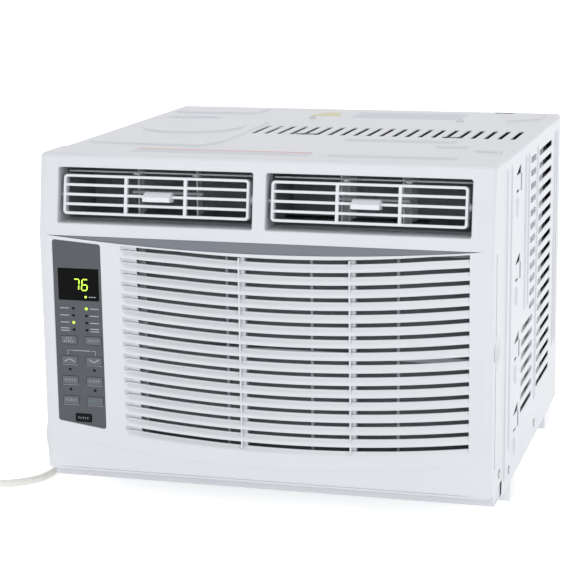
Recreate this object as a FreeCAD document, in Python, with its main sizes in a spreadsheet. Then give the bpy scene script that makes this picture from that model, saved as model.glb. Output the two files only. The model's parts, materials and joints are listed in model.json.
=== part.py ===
"""A through-the-window room air conditioner, as a parametric document.

Row frame, in millimetres: X to the right, Y into the depth (the room side faces -Y), Z up.
The origin is under the middle of the unit, on the surface that its feet stand on.
Every size is a cell of the sheet "Sizes", and the objects are bound to those cells.
"""
import FreeCAD, Part
import math
import os
import re

import Sketcher
from FreeCAD import Placement, Rotation, Vector

DOC = FreeCAD.newDocument("WindowAirConditioner")
SHEET = DOC.addObject("Spreadsheet::Sheet", "Sizes")
PROBE = DOC.addObject("Part::Feature", "Probe")

SIZES = {
    # whole unit
    "body_width": 470, "body_depth": 470, "body_top": 373.5, "stretch": "=body_depth/470",
    # front bezel
    "bezel_bottom": 42, "bezel_depth": 68, "bezel_wall": 2.5, "face_break": "=body_top - 82.5",
    "lean_top": 12, "lean_bottom": 4, "corner_radius": 9, "top_radius": 2,
    "skirt_set_back": 28, "skirt_drop": 14, "skirt_inset": 6,
    # air outlets and their louvres
    "outlet_inner": 6.8, "outlet_outer": "=body_width/2 - 22", "outlet_low": "=face_break + 12.5",
    "outlet_high": "=face_break + 68.5", "outlet_wall": 2.5, "outlet_reach": 34,
    "louvre_gap": 4.4, "louvre_height": "=outlet_high - outlet_low - 15", "louvre_depth": 20,
    "louvre_rim": 3, "louvre_set_back": 4, "blade_thick": 2.6, "blade_pitch": 9.8,
    "rib_offset": 31.5, "rib_thick": 3.4, "pivot_radius": 2, "pivot_play": 0.06,
    "louvre_centre": "=(outlet_low + outlet_high)/2 - face_break + 1.6",
    "tab_width": 34, "tab_height": 10, "tab_play": 0.35, "tab_shift_left": 5,
    "vane_depth": 34, "vane_thick": 1.6, "vane_low": "=outlet_low + 3.5",
    "vane_high": "=outlet_high - 4.5", "vane_back": 60,
    "vane_pin": 1.5, "vane_arm": 13, "vane_turn_left": -8, "vane_turn_right": 12,
    "link_height": 2.6, "link_pin": 1.2, "link_play": 0.65,
    "duct_reach": 112, "mouth_half": 80, "mouth_depth": 28,
    # control panel, its heights measured from the face break downwards
    "panel_left": "=16 - body_width/2", "panel_right": "=panel_left + 52", "panel_top_left": -4.5,
    "panel_top_right": -8.4, "panel_low_left": -195.8, "panel_low_right": -203,
    "panel_play": 0.4, "panel_sink": 0.8, "panel_thick": 3.5, "panel_flange": 3,
    "display_left": "=panel_left + 5", "display_right": "=panel_right - 3",
    "display_top": -34.3, "display_low": -67.4, "lens_thick": 1.6, "lens_play": 0.2,
    "key_width": 17.4, "key_height": 8.4, "key_play": 0.4, "key_left": "=panel_left + 14.4",
    "key_right": "=panel_right - 11", "key_row": -109.6, "key_pitch": 21.4,
    "power_key_x": "=panel_left + 27.5", "power_key_z": -192.4,
    "key_proud": 0.5, "lamp_radius": 1.15, "lamp_left": "=panel_left + 20.4",
    "lamp_right": "=panel_right - 17.4", "lamp_row": -76, "lamp_pitch": 7.5,
    "board_depth": 9, "board_thick": 1.6, "tap_half": 3, "tray_front": 19, "tray_back": 60,
    "tray_sheet": 2, "can_radius": 16, "can_height": 62,
    # intake grille
    "slot_count": 16, "slot_pitch": 12.74, "slot_gap": 3.8, "slot_top": "=face_break - 17.6",
    "slot_radius": 1430, "slot_vertex": 16, "slot_left": "=panel_right + 38",
    "slot_right": "=body_width/2 - 23", "grille_rib_left": -20.5, "grille_rib_right": 93,
    "grille_rib": 5,
    # accent strip
    "strip_half": "=body_width/2 - 5.5", "strip_sag": 11.8, "strip_thick": 1.3, "strip_play": 0.3,
    # filter
    "filter_left": "=slot_left - 4", "filter_front": 20, "filter_thick": 5, "filter_low": 70,
    "filter_high": "=face_break - 7", "filter_play": 0.8, "filter_rim": 6, "notch_low": 170,
    "notch_high": 205, "notch_front": 9, "notch_back": 45,
    # steel cabinet
    "sheet": 1, "cabinet_top": "=body_top - 1.5", "cabinet_low": 25, "cabinet_radius": 5,
    "bezel_seam": 0.4, "side_slot_height": 6.4, "side_slot_pitch": 14.58,
    "side_slot_top": "=cabinet_top - 24.5", "side_slot_count": 19, "side_slot_short": 12,
    "rear_slot_front": "=65*stretch", "rear_slot_back": "=165*stretch",
    "short_slot_front": "=6*stretch", "short_slot_back": "=43*stretch",
    "long_slot_front": "=-48*stretch", "long_slot_back": "=30*stretch",
    "top_slot_width": 5, "top_slot_pitch": 14.35, "top_slot_left": -70, "top_slot_count": 21,
    "top_slot_front": "=-15*stretch", "top_slot_back": "=57*stretch",
    "rear_rim": 13, "hook_front": "=-101*stretch", "rail_hole_left": -42,
    "rail_hole_right": 133, "rail_hole_y": "=body_depth/2 - 98", "rail_hole_radius": 2.2,
    # base
    "pan_floor": 26, "pan_sheet": 1.2, "pan_rim": 20, "foot_front_near": "=136 - body_depth/2",
    "foot_front_far": "=foot_front_near + 27", "foot_rear_near": "=body_depth/2 - 50",
    "foot_rear_inset": 4, "drain_x": 160, "drain_y": 20, "drain_radius": 8,
    "screw_head": 3.6, "screw_face": 2.6, "screw_rise": 1.6, "screw_shank": 1.9, "screw_length": 7,
    # refrigerant circuit and fan
    "fan_x": 75, "fan_z": 184, "shaft_radius": 4, "shaft_play": 0.05,
    "wheel_radius": 94, "wheel_width": 60, "wheel_blades": 30, "wheel_front": "=83 - body_depth/2",
    "fan_radius": 121, "fan_depth": 38, "fan_front": "=body_depth/2 - 137", "fan_blades": 5,
    "fan_pitch": 32, "hub_radius": 26, "slinger": 3, "motor_radius": 52, "motor_length": 66,
    "bulkhead_y": "=152 - body_depth/2", "shroud_y": "=body_depth/2 - 85",
    "compressor_x": "=85 - body_width/2", "compressor_y": "=0.6*bulkhead_y + 0.4*shroud_y + 16.8", "compressor_radius": 55,
    "compressor_height": 205, "stand_rise": 14, "stand_thick": 3, "accumulator_radius": 23,
    "accumulator_height": 138, "accumulator_rise": 40,
    "coil_front": "=body_depth/2 - 48", "coil_depth": 40, "coil_low": 33,
    "coil_high": "=cabinet_top - 22", "bend_count": 7, "bend_radius": 9, "bend_tube": 3.6,
    "evaporator_front": "=36 - body_depth/2", "evaporator_depth": 34, "evaporator_low": 62,
    "evaporator_high": "=face_break - 5",
    # lead
    "cord_diameter": 8, "gland_y": 60, "gland_z": 56, "gland_length": 30,
    "coil_x": -400, "coil_y": -142, "coil_ring": 42, "coil_half": 12.4, "coil_tall": 16.6,
    "plug_half": 15, "plug_length": 62, "plug_width": 43.6, "plug_corner": 5,
    "plug_key_at": 10, "plug_key_wide": 14, "plug_key_tall": 9, "plug_key_play": 0.5,
    "blade_reach": 16, "blade_wide": 6.3, "blade_sheet": 1.5, "blade_apart": 12.7,
    "earth_reach": 18, "earth_radius": 2.4,
}
for row, (alias, number) in enumerate(SIZES.items(), start=1):
    SHEET.set(f"A{row}", alias)
    SHEET.set(f"B{row}", str(number))
    SHEET.setAlias(f"B{row}", alias)
DOC.recompute()

WORD = re.compile(r"[a-z]\w*")
FRONT = "(-body_depth/2)"
REAR = "(body_depth/2)"
SIDE = "(body_width/2)"
LOWER_LEAN = "atan(lean_bottom/(face_break - bezel_bottom))"
UPPER_LEAN = "atan(lean_top/(body_top - face_break))"
NODES = []


# ---------------------------------------------------------------- expressions and checks
def full(expression):
    """The expression with each alias named in the sheet."""
    return WORD.sub(lambda m: "Sizes." + m.group() if m.group() in SIZES else m.group(), str(expression))


def value(expression):
    """The expression's number now."""
    found = PROBE.evalExpression(full(expression))
    return float(getattr(found, "Value", found))


def bind(thing, path, expression):
    thing.setExpression(path, full(expression))


def place(thing, x, y, z, axis=None, angle=None):
    """Binds a placement's base and, with an axis, its turn in degrees."""
    if axis:
        thing.Placement = Placement(Vector(0, 0, 0), Rotation(Vector(*axis), value(angle)))
        bind(thing, "Placement.Rotation.Angle", angle)
    for name, expression in zip("xyz", (x, y, z)):
        bind(thing, "Placement.Base." + name, expression)
    return thing


def node(thing, label):
    """Marks a finished piece: its label is its name in the assembly."""
    thing.Label = label
    NODES.append(thing)
    return thing


# ---------------------------------------------------------------- primitives and booleans
def box(name, x, y, z):
    """A block from its (low, high) expressions along each axis."""
    block = DOC.addObject("Part::Box", name)
    for letter, side, (low, high) in zip("xyz", ("Length", "Width", "Height"), (x, y, z)):
        bind(block, side, f"({high}) - ({low})")
        bind(block, "Placement.Base." + letter, low)
    return block


TURNS = {"x": ((0, 1, 0), 90), "y": ((1, 0, 0), -90), "z": ((0, 0, 1), 0)}


def rod(name, axis, start, length, radius):
    """A cylinder along +axis from its start point."""
    bar = DOC.addObject("Part::Cylinder", name)
    bind(bar, "Radius", radius)
    bind(bar, "Height", length)
    direction, angle = TURNS[axis]
    bar.Placement = Placement(Vector(0, 0, 0), Rotation(Vector(*direction), angle))
    for letter, expression in zip("xyz", start):
        bind(bar, "Placement.Base." + letter, expression)
    return bar


def fuse(name, *things):
    joined = DOC.addObject("Part::MultiFuse", name)
    joined.Shapes = list(things)
    return joined


def group(name, *things):
    gathered = DOC.addObject("Part::Compound", name)
    gathered.Links = list(things)
    return gathered


def cut(name, base, *tools):
    made = DOC.addObject("Part::Cut", name)
    made.Base = base
    made.Tool = tools[0] if len(tools) == 1 else group(name + "_tools", *tools)
    return made


def common(name, base, tool):
    made = DOC.addObject("Part::Common", name)
    made.Base = base
    made.Tool = tool
    return made


# ---------------------------------------------------------------- sketched bodies
PLANES = {"x": "YZ_Plane", "y": "XZ_Plane", "z": "XY_Plane"}


def body(label):
    made = DOC.addObject("PartDesign::Body", label)
    return node(made, label)


def sketch(owner, axis, offset):
    """A sketch square to the axis; its own directions are the other two row axes, in order."""
    drawing = owner.newObject("Sketcher::SketchObject", owner.Name + "_outline")
    plane = next(f for f in owner.Origin.OriginFeatures if f.Role == PLANES[axis])
    drawing.AttachmentSupport = [(plane, "")]
    drawing.MapMode = "FlatFace"
    bind(drawing, "AttachmentOffset.Base.z", f"-({offset})" if axis == "y" else offset)
    return drawing


def hold(drawing, edge, end, across, up):
    """Ties one end of an edge to the sketch's origin, by two bound distances."""
    for kind, expression in (("DistanceX", across), ("DistanceY", up)):
        length = value(expression)
        if length < 0:
            fixed = Sketcher.Constraint(kind, edge, end, -1, 1, -length)
            expression = f"-({expression})"
        else:
            fixed = Sketcher.Constraint(kind, -1, 1, edge, end, length)
        number = drawing.addConstraint(fixed)
        bind(drawing, f"Constraints[{number}]", expression)


def outline(drawing, corners):
    """A closed outline through (across, up) corners; a third item is the radius of the arc that
    leads on to the next corner, with its centre above the arc."""
    points = [Vector(value(c[0]), value(c[1]), 0) for c in corners]
    first, count = drawing.GeometryCount, len(corners)
    ends = []
    for here, there, corner in zip(points, points[1:] + points[:1], corners):
        if len(corner) == 3:
            radius = value(corner[2])
            left, right = sorted((here, there), key=lambda p: p.x)
            chord = right - left
            rise = math.sqrt(radius * radius - (chord.Length / 2) ** 2)
            centre = (left + right) / 2 + Vector(-chord.y, chord.x, 0).normalize() * rise
            angles = [math.atan2(p.y - centre.y, p.x - centre.x) for p in (left, right)]
            circle = Part.Circle(centre, Vector(0, 0, 1), radius)
            drawing.addGeometry(Part.ArcOfCircle(circle, *angles), False)
            ends.append((1, 2) if here is left else (2, 1))
        else:
            drawing.addGeometry(Part.LineSegment(here, there), False)
            ends.append((1, 2))
    for i in range(count):
        after = (i + 1) % count
        drawing.addConstraint(
            Sketcher.Constraint("Coincident", first + i, ends[i][1], first + after, ends[after][0]))
    for i, corner in enumerate(corners):
        hold(drawing, first + i, ends[i][0], corner[0], corner[1])
        if len(corner) == 3:
            number = drawing.addConstraint(Sketcher.Constraint("Radius", first + i, value(corner[2])))
            bind(drawing, f"Constraints[{number}]", corner[2])


def ring(drawing, across, up, radius):
    """A circle about a bound centre."""
    here = Vector(value(across), value(up), 0)
    number = drawing.addGeometry(Part.Circle(here, Vector(0, 0, 1), value(radius)), False)
    hold(drawing, number, 3, across, up)
    limit = drawing.addConstraint(Sketcher.Constraint("Radius", number, value(radius)))
    bind(drawing, f"Constraints[{limit}]", radius)


def rectangle(drawing, across, up):
    (a, b), (c, d) = across, up
    outline(drawing, [(a, c), (b, c), (b, d), (a, d)])


def prism(owner, kind, axis, low, high, draw):
    """A Pad or Pocket between two places along an axis, from a sketch that draw() fills."""
    away = (kind == "Pad") == (axis == "y")
    drawing = sketch(owner, axis, high if away else low)
    draw(drawing)
    before = owner.Shape.Volume if owner.Tip else 0
    feature = owner.newObject("PartDesign::" + kind, owner.Name + "_" + kind.lower())
    feature.Profile = drawing
    bind(feature, "Length", f"({high}) - ({low})")
    drawing.Visibility = False
    DOC.recompute()
    changed = owner.Shape.Volume - before
    if (changed <= 0) == (kind == "Pad"):
        raise RuntimeError(f"{owner.Label}: {feature.Name} changes nothing")
    return feature


def pad(owner, axis, low, high, draw):
    return prism(owner, "Pad", axis, low, high, draw)


def pocket(owner, axis, low, high, draw):
    return prism(owner, "Pocket", axis, low, high, draw)


def in_a_row(owner, feature, sketch_axis, pitch, count, backwards=False):
    """Repeats a feature along its sketch's own axis."""
    row_of = owner.newObject("PartDesign::LinearPattern", owner.Name + "_row")
    row_of.Originals = [feature]
    row_of.Direction = (feature.Profile[0], [sketch_axis])
    bind(row_of, "Length", f"({pitch}) * ({count} - 1)")
    bind(row_of, "Occurrences", count)
    row_of.Reversed = backwards
    owner.Tip = row_of
    DOC.recompute()
    return row_of


def round_edges(owner, radius, chosen):
    """A fillet along the edges that chosen(edge) picks."""
    base = owner.Tip
    names = [f"Edge{i}" for i, edge in enumerate(base.Shape.Edges, start=1) if chosen(edge)]
    soft = owner.newObject("PartDesign::Fillet", owner.Name + "_round")
    soft.Base = (base, names)
    bind(soft, "Radius", radius)
    owner.Tip = soft
    DOC.recompute()
    return soft


def upright(edge):
    """Whether an edge runs mostly up and down."""
    size = edge.BoundBox
    return size.ZLength > 4 * max(size.XLength, size.YLength, 0.1)


# ---------------------------------------------------------------- front bezel
def outlet_span(side):
    """The low and high X of an outlet: side is -1 for the left one, 1 for the right one."""
    return ("-outlet_outer", "-outlet_inner") if side < 0 else ("outlet_inner", "outlet_outer")


def leaned(depth, height, lean):
    """Y and Z of a point that lies depth behind a leaning face and height above its break."""
    return (f"{FRONT} + ({depth})*cos({lean}) - ({height})*sin({lean})",
            f"face_break + ({depth})*sin({lean}) + ({height})*cos({lean})")


PIVOT_DEPTH = "(louvre_set_back + louvre_depth/2)"
PIVOT = leaned(PIVOT_DEPTH, "louvre_centre", f"(-{UPPER_LEAN})")


def grille_slots(owner):
    """Sixteen drooping slots, each in three lengths between the two stiffening ribs."""
    cuts = ("slot_left", "grille_rib_left", "grille_rib_right", "slot_right")

    def rise(x, level):
        return f"({level}) + ({x} - slot_vertex)^2/(2*slot_radius)"

    for i in range(3):
        left = cuts[i] if i == 0 else f"({cuts[i]} + grille_rib/2)"
        right = cuts[i + 1] if i == 2 else f"({cuts[i + 1]} - grille_rib/2)"
        lower = "slot_top - slot_gap/2"
        upper = "slot_top + slot_gap/2"
        corners = [(left, rise(left, lower), "slot_radius"), (right, rise(right, lower)),
                   (right, rise(right, upper), "slot_radius"), (left, rise(left, upper))]
        slot = pocket(owner, "y", f"{FRONT} - 1", f"{FRONT} + lean_bottom + bezel_wall + 1",
                      lambda s: outline(s, corners))
        in_a_row(owner, slot, "V_Axis", "slot_pitch", "slot_count", backwards=True)


def outlet_throat(owner, side):
    """The opening of one outlet and the short duct that it starts."""
    low, high = outlet_span(side)
    front_low, front_high = f"{FRONT} + bezel_wall/2", f"{FRONT} + lean_top"
    back = f"{FRONT} + outlet_reach"
    for x in (f"{low} - outlet_wall", high):
        wall = [(front_low, "outlet_low - outlet_wall"), (front_high, "outlet_high + outlet_wall"),
                (back, "outlet_high + outlet_wall"), (back, "outlet_low - outlet_wall")]
        pad(owner, "x", x, f"{x} + outlet_wall", lambda s: outline(s, wall))
    sill = [(front_low, "outlet_low - outlet_wall"), (front_low, "outlet_low"),
            (back, "outlet_low"), (back, "outlet_low - outlet_wall")]
    lintel = [(front_high, "outlet_high"), (front_high, "outlet_high + outlet_wall"),
              (back, "outlet_high + outlet_wall"), (back, "outlet_high")]
    for shape in (sill, lintel):
        pad(owner, "x", f"{low} - outlet_wall/2", f"{high} + outlet_wall/2",
            lambda s: outline(s, shape))
    pocket(owner, "y", f"{FRONT} - 1", f"{FRONT} + lean_top + bezel_wall + 1",
           lambda s: rectangle(s, (low, high), ("outlet_low", "outlet_high")))
    pocket(owner, "x", f"{low} - outlet_wall - 1", f"{high} + outlet_wall + 1",
           lambda s: ring(s, *PIVOT, "pivot_radius + pivot_play"))


def filter_guides(owner):
    """The channels above and below the filter, and the slot that it slides out of."""
    front = f"({FRONT} + filter_front - filter_play)"
    back = f"({FRONT} + filter_front + filter_thick + filter_play)"
    for level, up in (("filter_low", 1), ("filter_high", -1)):
        def at(z):
            return f"{level} + ({z})*({up})"
        channel = [(f"{front} - 1.6", at("-filter_play - 2")), (f"{back} + 1.6", at("-filter_play - 2")),
                   (f"{back} + 1.6", at("3")), (back, at("3")), (back, at("-filter_play")),
                   (front, at("-filter_play")), (front, at("3")), (f"{front} - 1.6", at("3"))]
        pad(owner, "x", "filter_left - 3", f"{SIDE} - bezel_wall/2", lambda s: outline(s, channel))
    pocket(owner, "x", f"{SIDE} - bezel_wall - 1", f"{SIDE} + 1", lambda s: rectangle(
        s, (front, back), ("filter_low - filter_play", "filter_high + filter_play")))


def make_bezel():
    bezel = body("front_bezel")
    outer = [(f"{FRONT} + lean_bottom", "bezel_bottom"), (FRONT, "face_break"),
             (f"{FRONT} + lean_top", "body_top"), (f"{FRONT} + bezel_depth", "body_top"),
             (f"{FRONT} + bezel_depth", "bezel_bottom")]
    inner = [(f"{FRONT} + lean_bottom + bezel_wall", "bezel_bottom + bezel_wall"),
             (f"{FRONT} + bezel_wall", "face_break"),
             (f"{FRONT} + lean_top + bezel_wall", "body_top - bezel_wall"),
             (f"{FRONT} + bezel_depth + 1", "body_top - bezel_wall"),
             (f"{FRONT} + bezel_depth + 1", "bezel_bottom + bezel_wall")]
    pad(bezel, "x", f"-{SIDE}", SIDE, lambda s: outline(s, outer))
    pocket(bezel, "x", f"-{SIDE} + bezel_wall", f"{SIDE} - bezel_wall", lambda s: outline(s, inner))
    face = value(f"{FRONT} + lean_top") + 0.1
    within = value(f"{SIDE} - bezel_wall") + 0.1
    round_edges(bezel, "corner_radius - bezel_wall", lambda e: upright(e)
                and e.BoundBox.YMax < face + value("bezel_wall") and abs(e.BoundBox.XMax) < within)
    round_edges(bezel, "corner_radius", lambda e: upright(e) and e.BoundBox.YMax < face
                and abs(e.BoundBox.XMax) > within)
    rear = value(f"{FRONT} + bezel_depth")
    round_edges(bezel, "top_radius", lambda e: e.BoundBox.ZMin > value("body_top") - 0.01
                and e.BoundBox.YMax < rear - 0.5)
    skirt = (f"-{SIDE} + skirt_inset", f"{SIDE} - skirt_inset")
    pad(bezel, "y", f"{FRONT} + skirt_set_back", f"{FRONT} + skirt_set_back + bezel_wall",
        lambda s: rectangle(s, skirt, ("bezel_bottom - skirt_drop", "bezel_bottom + bezel_wall/2")))
    for side in (-1, 1):
        outlet_throat(bezel, side)
    filter_guides(bezel)
    grille_slots(bezel)
    for x in ("grille_rib_left", "grille_rib_right"):
        pad(bezel, "x", f"{x} - bezel_wall/2", f"{x} + bezel_wall/2", lambda s: rectangle(
            s, (f"{FRONT} + bezel_wall", f"{FRONT} + filter_front - filter_play - 2"),
            ("filter_low + 4", "filter_high - 4")))
    window = [("panel_left - panel_play", "face_break + panel_low_left - panel_play"),
              ("panel_right + panel_play", "face_break + panel_low_right - panel_play"),
              ("panel_right + panel_play", "face_break + panel_top_right + panel_play"),
              ("panel_left - panel_play", "face_break + panel_top_left + panel_play")]
    pocket(bezel, "y", f"{FRONT} - 1", f"{FRONT} + lean_bottom + bezel_wall + 1",
           lambda s: outline(s, window))
    pocket(bezel, "y", f"{FRONT} - 1", f"{FRONT} + strip_thick + 0.3",
           lambda s: crescent(s, "face_break + strip_play", "strip_half", "strip_sag"))
    pocket(bezel, "x", f"{SIDE} - bezel_wall - 1", f"{SIDE} + 1", lambda s: rectangle(
        s, (f"{FRONT} + notch_front", f"{FRONT} + notch_back"), ("notch_low", "notch_high")))


def crescent(drawing, level, half, sag):
    """A straight top edge with a drooping arc below it."""
    radius = f"(({half})^2 + ({sag})^2)/(2*({sag}))"
    outline(drawing, [(f"-({half})", level, radius), (half, level)])


def make_strip():
    strip = body("accent_strip")
    half = "strip_half - 8"
    pad(strip, "y", f"{FRONT} + 0.2", f"{FRONT} + strip_thick",
        lambda s: crescent(s, "face_break - strip_play", half, "strip_sag - 2*strip_play - 0.4"))


# ---------------------------------------------------------------- control panel
def panel_body(label):
    """A body whose own Y is the depth behind the lower face, and own Z the height above the break."""
    made = body(label)
    return place(made, 0, FRONT, "face_break", (1, 0, 0), LOWER_LEAN)


KEYS = {
    "fan_speed_key": ("key_left", "key_row"), "mode_key": ("key_right", "key_row"),
    "warmer_key": ("key_left", "key_row - key_pitch"), "cooler_key": ("key_right", "key_row - key_pitch"),
    "timer_key": ("key_left", "key_row - 2*key_pitch"), "sleep_key": ("key_right", "key_row - 2*key_pitch"),
    "filter_key": ("key_left", "key_row - 3*key_pitch"), "eco_key": ("key_right", "key_row - 3*key_pitch"),
    "power_key": ("power_key_x", "power_key_z"),
}
LAMPS = [(x, f"lamp_row - {i}*lamp_pitch") for i in range(4) for x in ("lamp_left", "lamp_right")] + [
    (x, f"key_row - key_pitch*{i} - 10") for i in (1, 2) for x in ("key_left", "key_right")]
PANEL_BACK = "(panel_sink + panel_thick)"


def around(x, z, play="0"):
    """The two spans of a key's outline."""
    return ((f"{x} - key_width/2 - {play}", f"{x} + key_width/2 + {play}"),
            (f"{z} - key_height/2 - {play}", f"{z} + key_height/2 + {play}"))


def panel_edge(grow):
    return [(f"panel_left - {grow}", f"panel_low_left - {grow}"),
            (f"panel_right + {grow}", f"panel_low_right - {grow}"),
            (f"panel_right + {grow}", f"panel_top_right + {grow}"),
            (f"panel_left - {grow}", f"panel_top_left + {grow}")]


def make_fascia():
    fascia = panel_body("control_fascia")
    pad(fascia, "y", "panel_sink", PANEL_BACK, lambda s: outline(s, panel_edge("0")))
    pad(fascia, "y", f"{PANEL_BACK} - 1.2", f"{PANEL_BACK}", lambda s: outline(s, panel_edge("panel_flange")))
    lens = (("display_left - lens_play", "display_right + lens_play"),
            ("display_low - lens_play", "display_top + lens_play"))
    pocket(fascia, "y", "panel_sink - 1", "panel_sink + lens_thick", lambda s: rectangle(s, *lens))
    pocket(fascia, "y", "panel_sink", f"{PANEL_BACK} + 1", lambda s: rectangle(
        s, ("display_left + 2", "display_right - 2"), ("display_low + 2", "display_top - 2")))

    def openings(drawing):
        for x, z in KEYS.values():
            rectangle(drawing, *around(x, z, "key_play"))
        for x, z in LAMPS:
            ring(drawing, x, z, "lamp_radius")
    pocket(fascia, "y", "panel_sink - 1", f"{PANEL_BACK} + 1", openings)

    window = panel_body("display_lens")
    pad(window, "y", "panel_sink - 0.1", "panel_sink + lens_thick", lambda s: rectangle(
        s, ("display_left", "display_right"), ("display_low", "display_top")))
    screen = panel_body("display_module")
    pad(screen, "y", f"{PANEL_BACK} + 0.5", f"{PANEL_BACK} + 6", lambda s: rectangle(
        s, ("display_left + 1", "display_right - 1"), ("display_low + 1", "display_top - 1")))


def make_keys():
    for label, (x, z) in KEYS.items():
        key = panel_body(label)
        pad(key, "y", "panel_sink - key_proud", f"{PANEL_BACK} + 1.2", lambda s: rectangle(s, *around(x, z)))
        pad(key, "y", f"{PANEL_BACK} + 0.6", f"{PANEL_BACK} + 1.6",
            lambda s: rectangle(s, *around(x, z, "1.4")))
    parts = []
    for i, (x, z) in enumerate(LAMPS):
        lamp = rod(f"lamp_{i}", "y", (x, "panel_sink - 0.2", z), "panel_thick + 3", "lamp_radius - 0.05")
        parts.append(lamp)
    lamps = group("lamps", *parts)
    place(lamps, 0, FRONT, "face_break", (1, 0, 0), LOWER_LEAN)
    node(lamps, "indicator_lamps")


def make_control_box():
    board = ("board_depth", "board_depth + board_thick")
    plate = box("board_plate", ("panel_left - 4", "panel_right + 4"), board,
                ("panel_low_right - 1", "display_top + 30"))
    taps = [box(f"tap_{i}", (f"{x} - tap_half", f"{x} + tap_half"), ("board_depth - 1.4", "board_depth"),
                (f"{z} - tap_half", f"{z} + tap_half")) for i, (x, z) in enumerate(KEYS.values())]
    notch = box("board_notch", ("display_left - 2", "display_right + 2"),
                ("board_depth - 1", "board_depth + board_thick + 1"), ("display_low - 1", "display_top + 2"))
    circuit = fuse("board", cut("board_cut", plate, notch), *taps)
    node(place(circuit, 0, FRONT, "face_break", (1, 0, 0), LOWER_LEAN), "control_board")
    left, right = "(panel_left - 5)", "(panel_right + 6)"
    low, high = "(bezel_bottom + 44)", "(face_break - 6)"
    shell = box("tray", (left, right), (f"{FRONT} + tray_front", f"{FRONT} + tray_back"), (low, high))
    hollow = box("tray_hollow", (f"{left} + tray_sheet", f"{right} - tray_sheet"),
                 (f"{FRONT} + tray_front - 1", f"{FRONT} + tray_back - tray_sheet"),
                 (f"{low} + tray_sheet", f"{high} - tray_sheet"))
    node(cut("control_tray", shell, hollow), "control_box")
    stand = f"({low} + tray_sheet + 0.2)"
    middle = f"({FRONT} + (tray_front + tray_back)/2)"
    can = rod("can", "z", ("panel_left + 22", middle, stand), "can_height", "can_radius")
    tabs = [box(f"can_tab_{i}", (f"panel_left + 22 + {x}", f"panel_left + 23 + {x}"),
                (f"{middle} - 3", f"{middle} + 3"), (f"{stand} + can_height - 1", f"{stand} + can_height + 9"))
            for i, x in enumerate((-6, 0, 6))]
    node(fuse("capacitor", can, *tabs), "run_capacitor")


# ---------------------------------------------------------------- louvres
def louvre_x(side, offset="0"):
    return f"({side}*(outlet_inner + outlet_outer)/2 + ({offset}))"


def make_louvre(side, name):
    """One swinging frame of five level bars and two ribs, on a pin at each end."""
    centre = louvre_x(side)
    half = "((outlet_outer - outlet_inner)/2 - louvre_gap)"
    ends = (f"{centre} - {half}", f"{centre} + {half}")
    front, back = "louvre_set_back", "louvre_set_back + louvre_depth"
    frame = body(f"louvre_frame_{name}")
    place(frame, 0, FRONT, "face_break", (1, 0, 0), f"-{UPPER_LEAN}")
    tall = ("louvre_centre - louvre_height/2", "louvre_centre + louvre_height/2")
    pad(frame, "y", front, back, lambda s: rectangle(s, ends, tall))
    round_edges(frame, "4", lambda e: e.BoundBox.YLength > 5)
    inside = (f"{ends[0]} + louvre_rim", f"{ends[1]} - louvre_rim")
    pocket(frame, "y", f"{front} - 1", f"{back} + 1", lambda s: rectangle(
        s, inside, (f"{tall[0]} + louvre_rim", f"{tall[1]} - louvre_rim")))
    for i in (-1, 0, 1):
        level = f"louvre_centre + {i}*blade_pitch"
        pad(frame, "y", f"{front} + 0.6", f"{back} - 1", lambda s: rectangle(
            s, (f"{ends[0]} + 1", f"{ends[1]} - 1"), (f"{level} - blade_thick/2", f"{level} + blade_thick/2")))
    for i in (-1, 1):
        x = f"{centre} + {i}*rib_offset"
        pad(frame, "y", f"{front} + 0.3", f"{back} - 2", lambda s: rectangle(
            s, (f"{x} - rib_thick/2", f"{x} + rib_thick/2"), (f"{tall[0]} + 1", f"{tall[1]} - 1")))
    reach = "(louvre_gap + outlet_wall - 0.2)"
    for low, high in ((f"{ends[0]} - {reach}", f"{ends[0]} + 1"), (f"{ends[1]} - 1", f"{ends[1]} + {reach}")):
        pad(frame, "x", low, high, lambda s: ring(s, PIVOT_DEPTH, "louvre_centre", "pivot_radius"))

    middle = louvre_x(side, "tab_shift_left" if side < 0 else "0")
    wide = (f"{middle} - tab_width/2", f"{middle} + tab_width/2")
    tab = body(f"louvre_tab_{name}")
    place(tab, 0, FRONT, "face_break", (1, 0, 0), f"-{UPPER_LEAN}")
    grip = [("louvre_set_back - 6", "louvre_centre - tab_height/2 - 1"),
            ("louvre_set_back - 7.5", "louvre_centre + 1"),
            ("louvre_set_back - 1", "louvre_centre + tab_height/2 + 1"),
            ("louvre_set_back + 9", "louvre_centre + tab_height/2 - 1"),
            ("louvre_set_back + 9", "louvre_centre - tab_height/2 + 1")]
    pad(tab, "x", *wide, lambda s: outline(s, grip))
    gap = "(blade_thick/2 + tab_play)"
    pocket(tab, "x", f"{wide[0]} - 1", f"{wide[1]} + 1", lambda s: rectangle(
        s, ("louvre_set_back + 0.6 - tab_play", "louvre_set_back + 12"),
        (f"louvre_centre - {gap}", f"louvre_centre + {gap}")))


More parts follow.
